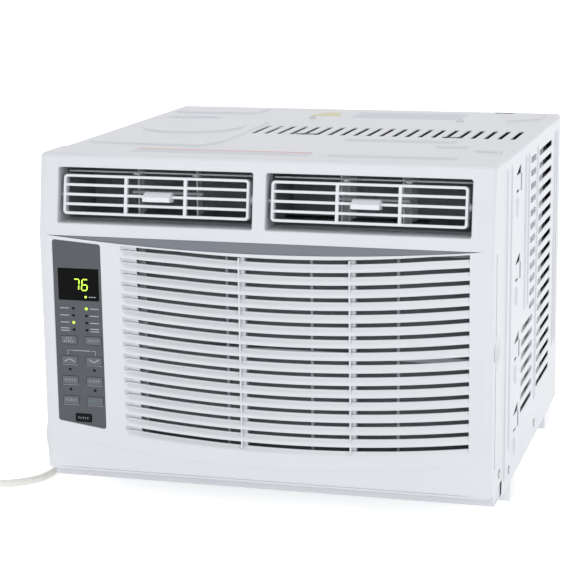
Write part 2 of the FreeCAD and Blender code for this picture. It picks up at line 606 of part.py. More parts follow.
def make_vanes(side, name):
    """Two upright vanes on their own pins, and the bar that turns them together."""
    turn = f"vane_turn_{name}"
    middle = "((vane_low + vane_high)/2)"
    for i, end in ((-1, "near"), (1, "far")):
        x = louvre_x(side, f"{i}*rib_offset")
        vane = body(f"vane_{name}_{end}")
        place(vane, x, f"{FRONT} + vane_back", 0, (0, 0, 1), f"-{turn}")
        pad(vane, "x", "-vane_thick/2", "vane_thick/2", lambda s: rectangle(
            s, ("-vane_depth/2", "vane_depth/2"), ("vane_low", "vane_high")))
        pocket(vane, "x", "-vane_thick", "vane_thick", lambda s: rectangle(
            s, ("-vane_depth/2 - 1", "-vane_arm + 4"),
            (f"{middle} - link_height/2 - 1.4", f"{middle} + link_height/2 + 1.4")))
        pad(vane, "z", "vane_low - 4", "vane_high + 4", lambda s: ring(s, "0", "0", "vane_pin"))
        pad(vane, "z", f"{middle} - link_height/2 - 2.4", f"{middle} + link_height/2 + 2.4",
            lambda s: ring(s, "0", "-vane_arm", "link_pin"))
    link = body(f"vane_link_{name}")
    pins = [(louvre_x(side, f"{i}*rib_offset - vane_arm*sin({turn})")) for i in (-1, 1)]
    pin_y = f"({FRONT} + vane_back - vane_arm*cos({turn}))"
    level = (f"{middle} - link_height/2", f"{middle} + link_height/2")
    pad(link, "z", *level, lambda s: rectangle(
        s, (f"{pins[0]} - 6", f"{pins[1]} + 6"), (f"{pin_y} - 4.5", f"{pin_y} + 3.4")))
    for pin in pins:
        room = "(link_pin + link_play)"
        pocket(link, "z", f"{level[0]} - 1", f"{level[1]} + 1", lambda s: rectangle(
            s, (f"{pin} - {room}", f"{pin} + {room}"), (f"{pin_y} - {room}", f"{pin_y} + 5")))


def make_outlet_box():
    """The duct behind the outlets, in two chambers, with the vanes' bearings in its floor and roof."""
    near, far = f"{FRONT} + outlet_reach + 0.4", f"{FRONT} + duct_reach"
    shell = box("duct_shell", ("-outlet_outer - 2", "outlet_outer + 2"), (near, far),
                ("vane_low - 5", "vane_high + 5.5"))
    tools = []
    for side in (-1, 1):
        low, high = outlet_span(side)
        tools.append(box(f"duct_bore_{side + 1}", (low, high), (f"{near} - 1", f"{far} - 2"),
                         ("vane_low - 3", "vane_high + 3.5")))
        for i in (-1, 1):
            tools.append(rod(f"duct_bearing_{side + 1}_{i + 1}", "z",
                             (louvre_x(side, f"{i}*rib_offset"), f"{FRONT} + vane_back", "vane_low - 9"),
                             "vane_high - vane_low + 18", "vane_pin + pivot_play"))
    tools.append(box("duct_mouth", ("fan_x - mouth_half", "fan_x + mouth_half"), (f"{far} - 4 - mouth_depth", f"{far} - 4"),
                     ("vane_low - 9", "vane_low")))
    node(cut("duct", shell, *tools), "air_outlet_duct")


# ---------------------------------------------------------------- filter
def make_filter():
    sieve = body("filter_frame")
    span = ("filter_left", f"{SIDE} - 0.3")
    depth = (f"{FRONT} + filter_front", f"{FRONT} + filter_front + filter_thick")
    pad(sieve, "y", *depth, lambda s: rectangle(s, span, ("filter_low", "filter_high")))
    bays, tall = 4, "(filter_high - filter_low)"
    left, right = "(filter_left + filter_rim)", f"({SIDE} - bezel_wall - filter_rim)"
    wide = f"({right} - {left})"

    def panes(drawing):
        for column in range(bays):
            for line in range(2):
                x = f"{left} + {wide}*{column}/{bays}"
                z = f"(filter_low + filter_rim/2 + {tall}*{line}/2)"
                rectangle(drawing, (f"{x} + 1.5", f"{x} + {wide}/{bays} - 1.5"),
                          (z, f"{z} + {tall}/2 - filter_rim"))
    pocket(sieve, "y", f"{depth[0]} - 1", f"{depth[1]} + 1", panes)
    mesh = box("mesh", ("filter_left + 3", f"{SIDE} - bezel_wall - 3"),
               (f"{FRONT} + filter_front + filter_thick/2 - 0.3", f"{FRONT} + filter_front + filter_thick/2 + 0.3"),
               ("filter_low + 2", "filter_high - 2"))
    node(mesh, "filter_mesh")


# ---------------------------------------------------------------- steel cabinet and base
def round_slot(drawing, low, high, middle, width, along="across"):
    """A slot with half-round ends, from low to high along one direction of the sketch."""
    radius = f"(({width})/2)"
    size = value(radius)
    ends = [(f"{low} + {radius}", middle), (f"{high} - {radius}", middle)]
    start = math.pi / 2
    if along != "across":
        ends = [(up, across) for across, up in ends]
        start = math.pi
    centres = [Vector(value(a), value(b), 0) for a, b in ends]
    arcs = []
    for centre, angle in zip(centres, (start, start + math.pi)):
        circle = Part.Circle(centre, Vector(0, 0, 1), size)
        arcs.append(drawing.addGeometry(Part.ArcOfCircle(circle, angle, angle + math.pi), False))
    lines = []
    for one, other in ((0, 1), (1, 0)):
        here = drawing.Geometry[arcs[one]].EndPoint
        there = drawing.Geometry[arcs[other]].StartPoint
        lines.append(drawing.addGeometry(Part.LineSegment(here, there), False))
    for one, other in ((0, 1), (1, 0)):
        drawing.addConstraint(Sketcher.Constraint("Tangent", arcs[one], 2, lines[one], 1))
        drawing.addConstraint(Sketcher.Constraint("Tangent", lines[one], 2, arcs[other], 1))
    for arc, (across, up) in zip(arcs, ends):
        hold(drawing, arc, 3, across, up)
        number = drawing.addConstraint(Sketcher.Constraint("Radius", arc, size))
        bind(drawing, f"Constraints[{number}]", radius)


INNER = f"({SIDE} - sheet)"
CABINET_FRONT = f"({FRONT} + bezel_depth + bezel_seam)"
THROUGH = (f"-{SIDE} - 1", f"{SIDE} + 1")
HOOK_TOPS = ("cabinet_top - 18", "cabinet_top - 111", "cabinet_top - 195", "cabinet_top - 272")


def make_cabinet():
    cabinet = body("cabinet_wrap")

    def arch(drawing, outer, inner, low, roof):
        outline(drawing, [(f"-{outer}", low), (f"-{outer}", "cabinet_top"), (outer, "cabinet_top"),
                          (outer, low), (inner, low), (inner, roof), (f"-{inner}", roof),
                          (f"-{inner}", low)])
    pad(cabinet, "y", CABINET_FRONT, REAR,
        lambda s: arch(s, SIDE, INNER, "cabinet_low", "cabinet_top - sheet"))
    for radius, level, across in (("cabinet_radius", "cabinet_top", SIDE),
                                  ("cabinet_radius - sheet", "cabinet_top - sheet", INNER)):
        high, wide = value(level), value(across)
        round_edges(cabinet, radius, lambda e: e.BoundBox.YLength > 20
                    and abs(e.BoundBox.ZMin - high) < 0.1 and abs(abs(e.BoundBox.XMin) - wide) < 0.1)
    rim = f"({INNER} - rear_rim)"
    pad(cabinet, "y", f"{REAR} - sheet", REAR, lambda s: arch(
        s, f"({SIDE} - cabinet_radius/2)", rim, "cabinet_low + 1", "cabinet_top - rear_rim"))
    lines = (("rear_slot_front", "rear_slot_back", "0", "side_slot_count"),
             ("short_slot_front", "short_slot_back", "0", "side_slot_short"),
             ("long_slot_front", "long_slot_back", "side_slot_short", "side_slot_count - side_slot_short"))
    for near, far, skipped, count in lines:
        level = f"side_slot_top - side_slot_pitch*({skipped})"
        slot = pocket(cabinet, "x", *THROUGH, lambda s: round_slot(s, near, far, level, "side_slot_height"))
        in_a_row(cabinet, slot, "V_Axis", "side_slot_pitch", count, backwards=True)
    vent = pocket(cabinet, "z", "cabinet_top - 3", "cabinet_top + 1", lambda s: round_slot(
        s, "top_slot_front", "top_slot_back", "top_slot_left", "top_slot_width", along="up"))
    in_a_row(cabinet, vent, "H_Axis", "top_slot_pitch", "top_slot_count")

    def hooks(drawing):
        for level in HOOK_TOPS:
            outline(drawing, [("hook_front", f"{level} - 12"), ("hook_front + 14", f"{level}"),
                              ("hook_front + 18", f"{level} - 3"), ("hook_front + 18", f"{level} - 12")])
            rectangle(drawing, ("hook_front + 36", "hook_front + 38.5"), (f"{level} - 25", f"{level} - 3"))
    pocket(cabinet, "x", *THROUGH, hooks)
    pocket(cabinet, "z", "cabinet_top - 3", "cabinet_top + 1", lambda s: [
        ring(s, x, "rail_hole_y", "rail_hole_radius") for x in ("rail_hole_left", "rail_hole_right")])
    pocket(cabinet, "x", f"-{SIDE} - 1", f"-{INNER} + 1",
           lambda s: ring(s, "gland_y", "gland_z", "cord_diameter/2 + 3.4"))


PAN_HALF = f"({INNER} - 0.6)"
PAN_TOP = "(pan_floor + pan_sheet)"


def make_base():
    """The pressed steel pan: a floor with a rim, and two cross channels that it stands on."""
    back = f"{REAR} - sheet - 0.5"
    floor = box("pan_plate", (f"-{PAN_HALF}", PAN_HALF), (f"{FRONT} + skirt_set_back + 7", back),
                ("pan_floor", PAN_TOP))
    rims = [box(f"pan_rim_{i}", span, (f"{CABINET_FRONT} + 1", back), ("pan_floor", "pan_floor + pan_rim"))
            for i, span in enumerate(((f"-{PAN_HALF}", f"-{PAN_HALF} + pan_sheet"),
                                      (f"{PAN_HALF} - pan_sheet", PAN_HALF)))]
    rims.append(box("pan_rim_2", (f"-{PAN_HALF}", PAN_HALF), (f"{back} - pan_sheet", back),
                    ("pan_floor", "pan_floor + pan_rim")))
    feet, hollows = [], []
    for i, (half, near, far) in enumerate(((PAN_HALF, "foot_front_near", "foot_front_far"),
                                           (f"({PAN_HALF} - foot_rear_inset)", "foot_rear_near", back))):
        feet.append(box(f"foot_{i}", (f"-{half}", half), (near, far), ("0", "pan_floor + 0.5")))
        hollows.append(box(f"foot_hollow_{i}", (f"-{half} + pan_sheet", f"{half} - pan_sheet"),
                           (f"{near} + pan_sheet", f"{far} - pan_sheet"), ("pan_sheet", f"{PAN_TOP} + 1")))
    drain = rod("drain_hole", "z", ("drain_x", "drain_y", "pan_floor - 5"), "10", "drain_radius")
    studs = [rod(f"stud_hole_{i}", "z", (x, y, "pan_floor - 5"), "10", "4.2")
             for i, (x, y) in enumerate(compressor_feet())]
    node(cut("pan", fuse("pan_steel", floor, *rims, *feet), drain, *hollows, *studs), "base_pan")
    stem = rod("plug_stem", "z", ("drain_x", "drain_y", "pan_floor - 3"), "8", "drain_radius - 0.1")
    head = rod("plug_head", "z", ("drain_x", "drain_y", PAN_TOP), "2.4", "drain_radius + 3")
    node(fuse("drain_bung", stem, head), "drain_plug")


def compressor_feet():
    """The three places where the compressor stands."""
    reach = "compressor_radius + 12"
    return [(f"compressor_x + ({reach})*cos({angle})", f"compressor_y + ({reach})*sin({angle})")
            for angle in (60, 180, 300)]


def make_screws():
    """Sheet-metal screws, each with a domed washer head and a plain shank."""
    def screw(name, axis, start, away):
        x, y, z = start
        head = DOC.addObject("Part::Cone", name + "_head")
        for prop, expression in (("Radius1", "screw_head"), ("Radius2", "screw_face"), ("Height", "screw_rise")):
            bind(head, prop, expression)
        direction, angle = TURNS[axis]
        head.Placement = Placement(Vector(0, 0, 0), Rotation(Vector(*direction), angle if away > 0 else angle + 180))
        for letter, expression in zip("xyz", start):
            bind(head, "Placement.Base." + letter, expression)
        shift = "-screw_length" if away > 0 else "0"
        foot = [f"{p} + ({shift})" if letter == axis else p for letter, p in zip("xyz", (x, y, z))]
        return fuse(name, head, rod(name + "_shank", axis, foot, "screw_length", "screw_shank"))
    wall = []
    for side in (-1, 1):
        for i, (y, z) in enumerate(((f"{FRONT} + 115", 41), (f"{REAR} - 178", 43))):
            wall.append(screw(f"side_screw_{side + 1}_{i}", "x", (f"{side}*{SIDE}", str(y), str(z)), side))
    node(group("cabinet_screw_set", *wall), "cabinet_screws")
    front = [screw(f"bezel_screw_{side + 1}", "x", (f"{side}*{SIDE}", f"{FRONT} + 53", "55"), side)
             for side in (-1, 1)]
    node(group("bezel_screw_set", *front), "bezel_screws")


# ---------------------------------------------------------------- refrigerant circuit
def revolved(label, x, y, corners):
    """A turned piece on its own upright axis at x, y."""
    made = place(body(label), x, y, 0)
    drawing = sketch(made, "y", "0")
    outline(drawing, corners)
    turned = made.newObject("PartDesign::Revolution", label + "_turned")
    turned.Profile = drawing
    turned.ReferenceAxis = (drawing, ["V_Axis"])
    turned.Angle = 360
    made.Tip = turned
    DOC.recompute()
    return made


def make_compressor():
    low = f"({PAN_TOP} + stand_rise)"
    high = f"({low} + compressor_height)"
    shell = "compressor_radius"
    can = revolved("compressor_can", "compressor_x", "compressor_y", [
        ("0", low), (f"{shell} - 10", low), (shell, f"{low} + 12"), (f"{shell} + 1.5", f"{low} + 50"),
        (shell, f"{low} + 52"), (shell, f"{high} - 26"), (f"{shell} - 8", f"{high} - 10"),
        (f"{shell} - 24", high), ("0", high)])
    NODES.remove(can)
    plate = rod("stand_plate", "z", ("compressor_x", "compressor_y", f"{low} - stand_thick"), "stand_thick",
                "compressor_radius + 20")
    pads, nuts, holes = [], [], []
    for i, (x, y) in enumerate(compressor_feet()):
        holes.append(rod(f"stand_hole_{i}", "z", (x, y, f"{low} - 5"), "10", "6.2"))
        pads.append(cut(f"grommet_{i}", rod(f"grommet_blank_{i}", "z", (x, y, f"{PAN_TOP} + 0.05"),
                        f"{low} - stand_thick - 0.1 - {PAN_TOP}", "10"),
                        rod(f"grommet_bore_{i}", "z", (x, y, PAN_TOP), "20", "4.1")))
        nuts.append(fuse(f"stud_{i}", rod(f"stud_shank_{i}", "z", (x, y, "pan_floor - 1.5"), f"{low} + 9 - pan_floor", "4"),
                         rod(f"stud_nut_{i}", "z", (x, y, f"{low} - 0.05"), "6", "7")))
    node(fuse("compressor_shell", can, cut("stand", plate, *holes)), "compressor")
    node(group("grommets", *pads), "compressor_grommets")
    node(group("studs", *nuts), "compressor_studs")
    bottom = f"({low} + accumulator_rise)"
    revolved("accumulator", "compressor_x + 78", "compressor_y + 30", [
        ("0", bottom), ("8", bottom), ("accumulator_radius", f"{bottom} + 16"),
        ("accumulator_radius", f"{bottom} + accumulator_height - 18"),
        ("6", f"{bottom} + accumulator_height"), ("0", f"{bottom} + accumulator_height")])


def bent(points, radii=None):
    """A wire of straight runs joined by tangent arcs. Without radii, each arc is as large as its
    runs allow: 0.45 of the shorter run, over the tangent of half the turn."""
    edges, here, used = [], points[0], []
    for i in range(1, len(points) - 1):
        before, corner, after = points[i - 1], points[i], points[i + 1]
        arriving, leaving = (before - corner), (after - corner)
        shorter = min(arriving.Length, leaving.Length)
        arriving.normalize()
        leaving.normalize()
        half = (math.pi - arriving.getAngle(leaving)) / 2
        radius = radii[i - 1] if radii else 0.45 * shorter / math.tan(half)
        reach = radius * math.tan(half)
        start, end = corner + arriving * reach, corner + leaving * reach
        bisector = (arriving + leaving).normalize()
        middle = corner + bisector * (radius / math.cos(half) - radius)
        if start.distanceToPoint(here) > 1e-6:
            edges.append(Part.LineSegment(here, start).toShape())
        edges.append(Part.Arc(start, middle, end).toShape())
        here = end
        used.append(radius)
    edges.append(Part.LineSegment(here, points[-1]).toShape())
    return Part.Wire(edges), used


def pipe(points, radius, radii=None):
    """A round bar along a bent wire, its volume checked against section times length."""
    path, used = bent(points, radii)
    first = points[1] - points[0]
    section = Part.Wire([Part.Circle(points[0], first, radius).toShape()])
    solid = path.makePipeShell([section], True, True)
    expected = math.pi * radius * radius * path.Length
    if abs(abs(solid.Volume) - expected) > 0.02 * expected:
        raise RuntimeError(f"a pipe's volume is {solid.Volume:.0f}, not {expected:.0f}")
    return solid, used, path.Length


def feature(label, shape):
    made = DOC.addObject("Part::Feature", label)
    made.Shape = shape
    return node(made, label)


def spot(x, y, z):
    return Vector(value(x), value(y), value(z))


def make_tubes():
    """Copper lines: hot gas to the rear coil, capillary to the front coil, suction back."""
    top = f"{PAN_TOP} + stand_rise + compressor_height"
    run, drop = f"{top} + 42", f"{top} + 2"
    rise, over = ("compressor_x - 20", "compressor_y"), ("compressor_x - 50", "coil_front - 20")
    hot = [spot(*rise, f"{top} - 6"), spot(*rise, run), spot("compressor_x - 50", "compressor_y + 40", run),
           spot(*over, run), spot(*over, drop), spot("compressor_x - 50", "coil_front + 1", drop)]
    feature("discharge_tube", pipe(hot, 4, (18, 14, 14, 12))[0])
    tank = f"{PAN_TOP} + stand_rise + accumulator_rise + accumulator_height - 1"
    plate, middle = "filter_left + 3", "evaporator_front + evaporator_depth/2"
    cross, side, behind = f"{run} - 5", "compressor_x - 48", "evaporator_front + 50"
    cold = [spot("compressor_x + 78", "compressor_y + 30", tank), spot("compressor_x + 78", "compressor_y + 30", cross),
            spot(side, "compressor_y - 40", cross), spot(side, behind, cross), spot(side, behind, f"{run} - 50"),
            spot("filter_left - 15", behind, f"{run} - 50"), spot("filter_left - 15", middle, f"{run} - 50"),
            spot(plate, middle, f"{run} - 50")]
    feature("suction_tube", pipe(cold, 5, (20, 20, 20, 20, 14, 14))[0])
    wall, low = "compressor_x - 66", f"{run} - 72"
    thin = [spot(wall, "coil_front + 8", "coil_low + 40"), spot(wall, "compressor_y + 70", "coil_low + 60"),
            spot(wall, "compressor_y", f"{run} - 20"), spot(wall, "bulkhead_y - 40", f"{run} - 10"),
            spot(wall, f"{behind} - 8", f"{run} - 62"), spot("filter_left - 9", f"{behind} - 8", low),
            spot("filter_left - 9", f"{middle} + 4", low), spot(plate, f"{middle} + 4", low)]
    feature("capillary_tube", pipe(thin, 1.5, (20, 20, 16, 10, 8, 8))[0])


def finned_coil(name, label, x, y, z, bend_side):
    """A block of fins between two end plates, with the return bends that join its tubes."""
    fins = box(name + "_fins", (f"{x[0]} + 2", f"{x[1]} - 2"), y, z)
    plates = [box(f"{name}_plate_{i}", span, (f"{y[0]} - 2", f"{y[1]} + 2"), (f"{z[0]} - 2", f"{z[1]} + 2"))
              for i, span in enumerate(((x[0], f"{x[0]} + 2.5"), (f"{x[1]} - 2.5", x[1])))]
    bends, count = [], round(value("bend_count"))
    for i in range(count):
        level = f"{z[0]} + ({z[1]} - ({z[0]}))*{(i + 0.5) / count}"
        ring_ = DOC.addObject("Part::Torus", f"{name}_bend_{i}")
        bind(ring_, "Radius1", "bend_radius")
        bind(ring_, "Radius2", "bend_tube")
        ring_.Placement = Placement(Vector(0, 0, 0), Rotation(Vector(0, 1, 0), 0) if i % 2 else Rotation(Vector(1, 0, 0), 90))
        for letter, expression in zip("xyz", (x[0] if bend_side < 0 else x[1], f"({y[0]} + {y[1]})/2", level)):
            bind(ring_, "Placement.Base." + letter, expression)
        bends.append(ring_)
    return node(fuse(name, fins, *plates, *bends), label)


def make_coils():
    finned_coil("rear_coil", "condenser_coil", ("compressor_x - 55", f"{INNER} - 20"),
                ("coil_front", "coil_front + coil_depth"), ("coil_low", "coil_high"), 1)
    finned_coil("front_coil", "evaporator_coil", ("filter_left + 2", f"{SIDE} - bezel_wall - 18"),
                ("evaporator_front", "evaporator_front + evaporator_depth"),
                ("evaporator_low", "evaporator_high"), 1)


# ---------------------------------------------------------------- fan and air path
def make_fan():
    axis = ("fan_x", "0", "fan_z")
    node(rod("shaft", "y", ("fan_x", "wheel_front + 4", "fan_z"), "fan_front + fan_depth + 8 - wheel_front",
             "shaft_radius"), "fan_shaft")
    wheel = place(body("blower_wheel"), *axis)
    back = "(wheel_front + wheel_width)"
    disc = ("wheel_front + wheel_width - 3", back)
    bore = "(shaft_radius + 0.01)"

    def plate(drawing):
        ring(drawing, "0", "0", "wheel_radius")
        ring(drawing, "0", "0", bore)
    pad(wheel, "y", *disc, plate)

    def boss(drawing):
        ring(drawing, "0", "0", "14")
        ring(drawing, "0", "0", bore)
    pad(wheel, "y", f"{back} - 30", f"{back} - 1", boss)
    blade = pad(wheel, "y", "wheel_front", f"{back} - 1", lambda s: outline(s, [
        ("wheel_radius - 17", "-3.2"), ("wheel_radius - 0.5", "1.4"), ("wheel_radius - 0.9", "2.8"),
        ("wheel_radius - 17.4", "-1.8")]))
    fan_of = wheel.newObject("PartDesign::PolarPattern", "wheel_blades_around")
    fan_of.Originals = [blade]
    fan_of.Axis = (blade.Profile[0], ["N_Axis"])
    fan_of.Angle = 360
    bind(fan_of, "Occurrences", "wheel_blades")
    wheel.Tip = fan_of
    DOC.recompute()

    def hoop(drawing):
        ring(drawing, "0", "0", "wheel_radius")
        ring(drawing, "0", "0", "wheel_radius - 5")
    pad(wheel, "y", "wheel_front", "wheel_front + 4", hoop)

    near, far = "fan_front", "(fan_front + fan_depth)"
    hub = rod("fan_hub", "y", ("fan_x", near, "fan_z"), "fan_depth", "hub_radius")
    blades = []
    count = round(value("fan_blades"))
    for i in range(count):
        block = DOC.addObject("Part::Box", f"fan_blade_{i}")
        for side, expression in (("Length", "fan_radius"), ("Width", "fan_depth*1.3"), ("Height", "2.2")):
            bind(block, side, expression)
        tilt = Rotation(Vector(1, 0, 0), value("fan_pitch"))
        turn = Rotation(Vector(0, 1, 0), 360.0 * i / count)
        centre = spot("fan_x", "fan_front + fan_depth/2", "fan_z")
        corner = Vector(0, -value("fan_depth*1.3") / 2, -1.1)
        block.Placement = Placement(centre, turn * tilt) * Placement(corner, Rotation())
        blades.append(block)
    disc_space = rod("fan_space", "y", ("fan_x", near, "fan_z"), "fan_depth", "fan_radius - 0.5")
    swept = common("fan_swept", fuse("fan_blade_set", *blades), disc_space)
    hoop_out = rod("slinger_out", "y", ("fan_x", f"{far} - 8", "fan_z"), "8", "fan_radius + slinger")
    hoop_in = rod("slinger_in", "y", ("fan_x", f"{far} - 9", "fan_z"), "10", "fan_radius - 1.5")
    whole = fuse("fan_whole", hub, swept, cut("slinger_ring", hoop_out, hoop_in))
    node(cut("rear_fan", whole, rod("fan_bore", "y", ("fan_x", f"{near} - 1", "fan_z"), "fan_depth + 2", bore)),
         "condenser_fan")


def make_motor():
    start = "bulkhead_y + 9"
    can = rod("motor_can", "y", ("fan_x", start, "fan_z"), "motor_length", "motor_radius")
    bosses = rod("motor_boss", "y", ("fan_x", f"{start} - 5", "fan_z"), "motor_length + 10", "18")
    bore = rod("motor_bore", "y", ("fan_x", f"{start} - 9", "fan_z"), "motor_length + 20", "shaft_radius + shaft_play")
    node(cut("motor", fuse("motor_body", can, bosses), bore), "fan_motor")
    plate = box("bracket_plate", ("fan_x - motor_radius - 14", "fan_x + motor_radius + 14"),
                ("bulkhead_y + sheet + 0.1", "bulkhead_y + 3"), ("fan_z - 34", "fan_z + 34"))
    arms = [box(f"bracket_arm_{i}", (f"fan_x + {x}", f"fan_x + {x} + 3"), ("bulkhead_y + 1.2", f"{start} + 40"),
                ("fan_z - 16", "fan_z + 16")) for i, x in enumerate(("(-motor_radius - 3.2)", "(motor_radius + 0.2)"))]
    hole = rod("bracket_hole", "y", ("fan_x", "bulkhead_y", "fan_z"), "6", "20")
    node(fuse("bracket", cut("bracket_face", plate, hole), *arms), "motor_bracket")


def make_air_path():
    sheet = box("wall", (f"-{PAN_HALF} + 4", f"{PAN_HALF} - 4"), ("bulkhead_y", "bulkhead_y + sheet"),
                (f"{PAN_TOP} + 0.1", "cabinet_top - sheet - 4"))
    shaft_hole = rod("wall_hole", "y", ("fan_x", "bulkhead_y - 2", "fan_z"), "6", "shaft_radius + 6")
    notch = box("wall_notch", (f"-{PAN_HALF} + 2", "compressor_x - 30"), ("bulkhead_y - 2", "bulkhead_y + 4"),
                ("fan_z + 66", "cabinet_top - 30"))
    node(cut("bulkhead_wall", sheet, shaft_hole, notch), "bulkhead")
    block = box("scroll_block", ("fan_x - wheel_radius - 20", "fan_x + wheel_radius + 20"),
                ("wheel_front - 8", "bulkhead_y - 1"), ("fan_z - wheel_radius - 18", "outlet_low - 6"))
    cavity = rod("scroll_bore", "y", ("fan_x", "wheel_front - 4", "fan_z"), "wheel_width + 10", "wheel_radius + 8")
    inlet = rod("scroll_inlet", "y", ("fan_x", "wheel_front - 12", "fan_z"), "12", "wheel_radius - 12")
    shaft = rod("scroll_shaft", "y", ("fan_x", "bulkhead_y - 20", "fan_z"), "22", "shaft_radius + 8")
    mouth = box("scroll_mouth", ("fan_x - mouth_half", "fan_x + mouth_half"), ("wheel_front - 2", "bulkhead_y - 16"),
                ("fan_z + 60", "outlet_low"))
    node(cut("scroll", block, cavity, inlet, shaft, mouth), "blower_housing")
    panel = box("shroud_panel", ("fan_x - fan_radius - 30", f"{PAN_HALF} - 4"), ("shroud_y", "shroud_y + 2"),
                (f"{PAN_TOP} + 0.1", "cabinet_top - sheet - 6"))
    collar = rod("shroud_collar", "y", ("fan_x", "shroud_y - 26", "fan_z"), "27", "fan_radius + slinger + 7")
    throat = rod("shroud_throat", "y", ("fan_x", "shroud_y - 30", "fan_z"), "40", "fan_radius + slinger + 4.5")
    node(cut("shroud", fuse("shroud_blank", panel, collar), throat), "fan_shroud")


# ---------------------------------------------------------------- lead
CORD_ROUTE = [
    (-265, 60, 56), (-303, 59.5, 53), (-330, 37, 36), (-331, 4, 17.5), (-318, -27, 7.5),
    (-299, -62, 4.9), (-278, -96, 4.8), (-268, -131, 4.8), (-276, -166, 4.8), (-306, -188, 4.8),
    (-341, -192, 4.8), (-378, -192, 4.8),
]
TAIL_ROUTE = [(-446, -113, 12.8), (-445.5, -92, 15), (-445, -71, 20.5)]


def make_lead():
    radius = value("cord_diameter/2")
    solid, radii, length = pipe([Vector(*p) for p in CORD_ROUTE], radius)
    tail, tail_radii, tail_length = pipe([Vector(*p) for p in TAIL_ROUTE], radius)
    feature("power_cord", Part.makeCompound([solid, tail]))
    print("cord radii", [round(r) for r in radii + tail_radii], "lengths", round(length), round(tail_length))
    outside = rod("coil_out", "z", ("coil_x", "coil_y", "0.2"), "coil_tall", "coil_ring + coil_half")
    inside = rod("coil_in", "z", ("coil_x", "coil_y", "-1"), "coil_tall + 4", "coil_ring - coil_half")
    node(cut("coil_of_cord", outside, inside), "cord_coil")
    cone = DOC.addObject("Part::Cone", "gland_cone")
    for prop, expression in (("Radius1", "cord_diameter/2 + 3"), ("Radius2", "cord_diameter/2 + 0.8"),
                             ("Height", "gland_length")):
        bind(cone, prop, expression)
    cone.Placement = Placement(Vector(0, 0, 0), Rotation(Vector(0, 1, 0), -90))
    for letter, expression in zip("xyz", (f"-{SIDE}", "gland_y", "gland_z")):
        bind(cone, "Placement.Base." + letter, expression)
    flange = rod("gland_flange", "x", (f"-{SIDE} - 3", "gland_y", "gland_z"), "2.9", "cord_diameter/2 + 6")
    neck = rod("gland_neck", "x", (f"-{SIDE} - 1", "gland_y", "gland_z"), "8", "cord_diameter/2 + 3.2")
    node(fuse("gland", cone, flange, neck), "strain_relief")


PLUG = {"x": -445, "y": -33, "z": 22}


def make_plug():
    housing = place(body("plug_housing"), PLUG["x"], PLUG["y"], PLUG["z"])
    long, wide = "plug_length/2", "plug_width/2"
    pad(housing, "x", "-plug_half", "plug_half", lambda s: rectangle(s, (f"-{long}", long), (f"-{wide}", wide)))
    round_edges(housing, "plug_corner", lambda e: e.BoundBox.XLength > 20)
    pad(housing, "y", f"-{long} - 7", f"1 - {long}", lambda s: ring(s, "0", "0", "cord_diameter/2 + 2.4"))

    def keyhole(drawing, centre, play):
        rectangle(drawing, (f"{centre} - plug_key_wide/2 - {play}", f"{centre} + plug_key_wide/2 + {play}"),
                  (f"-plug_key_tall/2 - {play}", f"plug_key_tall/2 + {play}"))

    def wells(drawing):
        for centre in ("-plug_key_at", "plug_key_at"):
            keyhole(drawing, centre, "plug_key_play")
    pocket(housing, "x", "plug_half - 7", "plug_half + 1", wells)
    for label, centre in (("plug_test_key", "-plug_key_at"), ("plug_reset_key", "plug_key_at")):
        key = place(body(label), PLUG["x"], PLUG["y"], PLUG["z"])
        pad(key, "x", "plug_half - 5", "plug_half + 0.8", lambda s: keyhole(s, centre, "0"))
    face = f"{PLUG['x']} - plug_half - 0.05"
    blades = [box(f"blade_{name}", (f"{face} - blade_reach + 0.05", face),
                  (f"{PLUG['y']} - 4.7 - blade_wide", f"{PLUG['y']} - 4.7"),
                  (f"{PLUG['z']} {sign} blade_apart/2 - blade_sheet/2", f"{PLUG['z']} {sign} blade_apart/2 + blade_sheet/2"))
              for name, sign in (("low", "-"), ("high", "+"))]
    earth = rod("earth_pin", "x", (f"{face} - earth_reach + 0.05", f"{PLUG['y']} + 4.5", str(PLUG["z"])),
                "earth_reach - 0.05", "earth_radius")
    node(group("blade_set", *blades, earth), "plug_blades")


# ---------------------------------------------------------------- build, check and write
def build():
    make_bezel()
    make_strip()
    make_fascia()
    make_keys()
    make_control_box()
    for side, name in ((-1, "left"), (1, "right")):
        make_louvre(side, name)
        make_vanes(side, name)
    make_outlet_box()
    make_filter()
    make_cabinet()
    make_base()
    make_screws()
    make_compressor()
    make_coils()
    make_tubes()
    make_fan()
    make_motor()
    make_air_path()
    make_lead()
    make_plug()
    DOC.recompute()


def write():
    failed = [o.Name for o in DOC.Objects if {"Invalid", "Error"} & set(o.State)]
    if failed:
        raise RuntimeError(f"these objects failed: {failed}")
    for thing in NODES:
        if thing.Shape.isNull() or not thing.Shape.isValid() or not thing.Shape.Solids:
            raise RuntimeError(f"{thing.Label} is not a valid solid")
    os.makedirs("parts", exist_ok=True)
    for thing in NODES:
        thing.Shape.exportStep(f"parts/{thing.Label}.step")
    print(len(NODES), "sub-parts written")


build()
write()
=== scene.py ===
"""Looks of a through-the-window room air conditioner.

Sizes are in millimetres until a mesh is made. X is to the right as seen from the room, Y goes
into the depth towards the outdoor side, and Z is up from what the feet stand on.
"""
import json
import math

import bmesh
import bpy
from mathutils import Matrix, Vector
from mathutils.geometry import tessellate_polygon


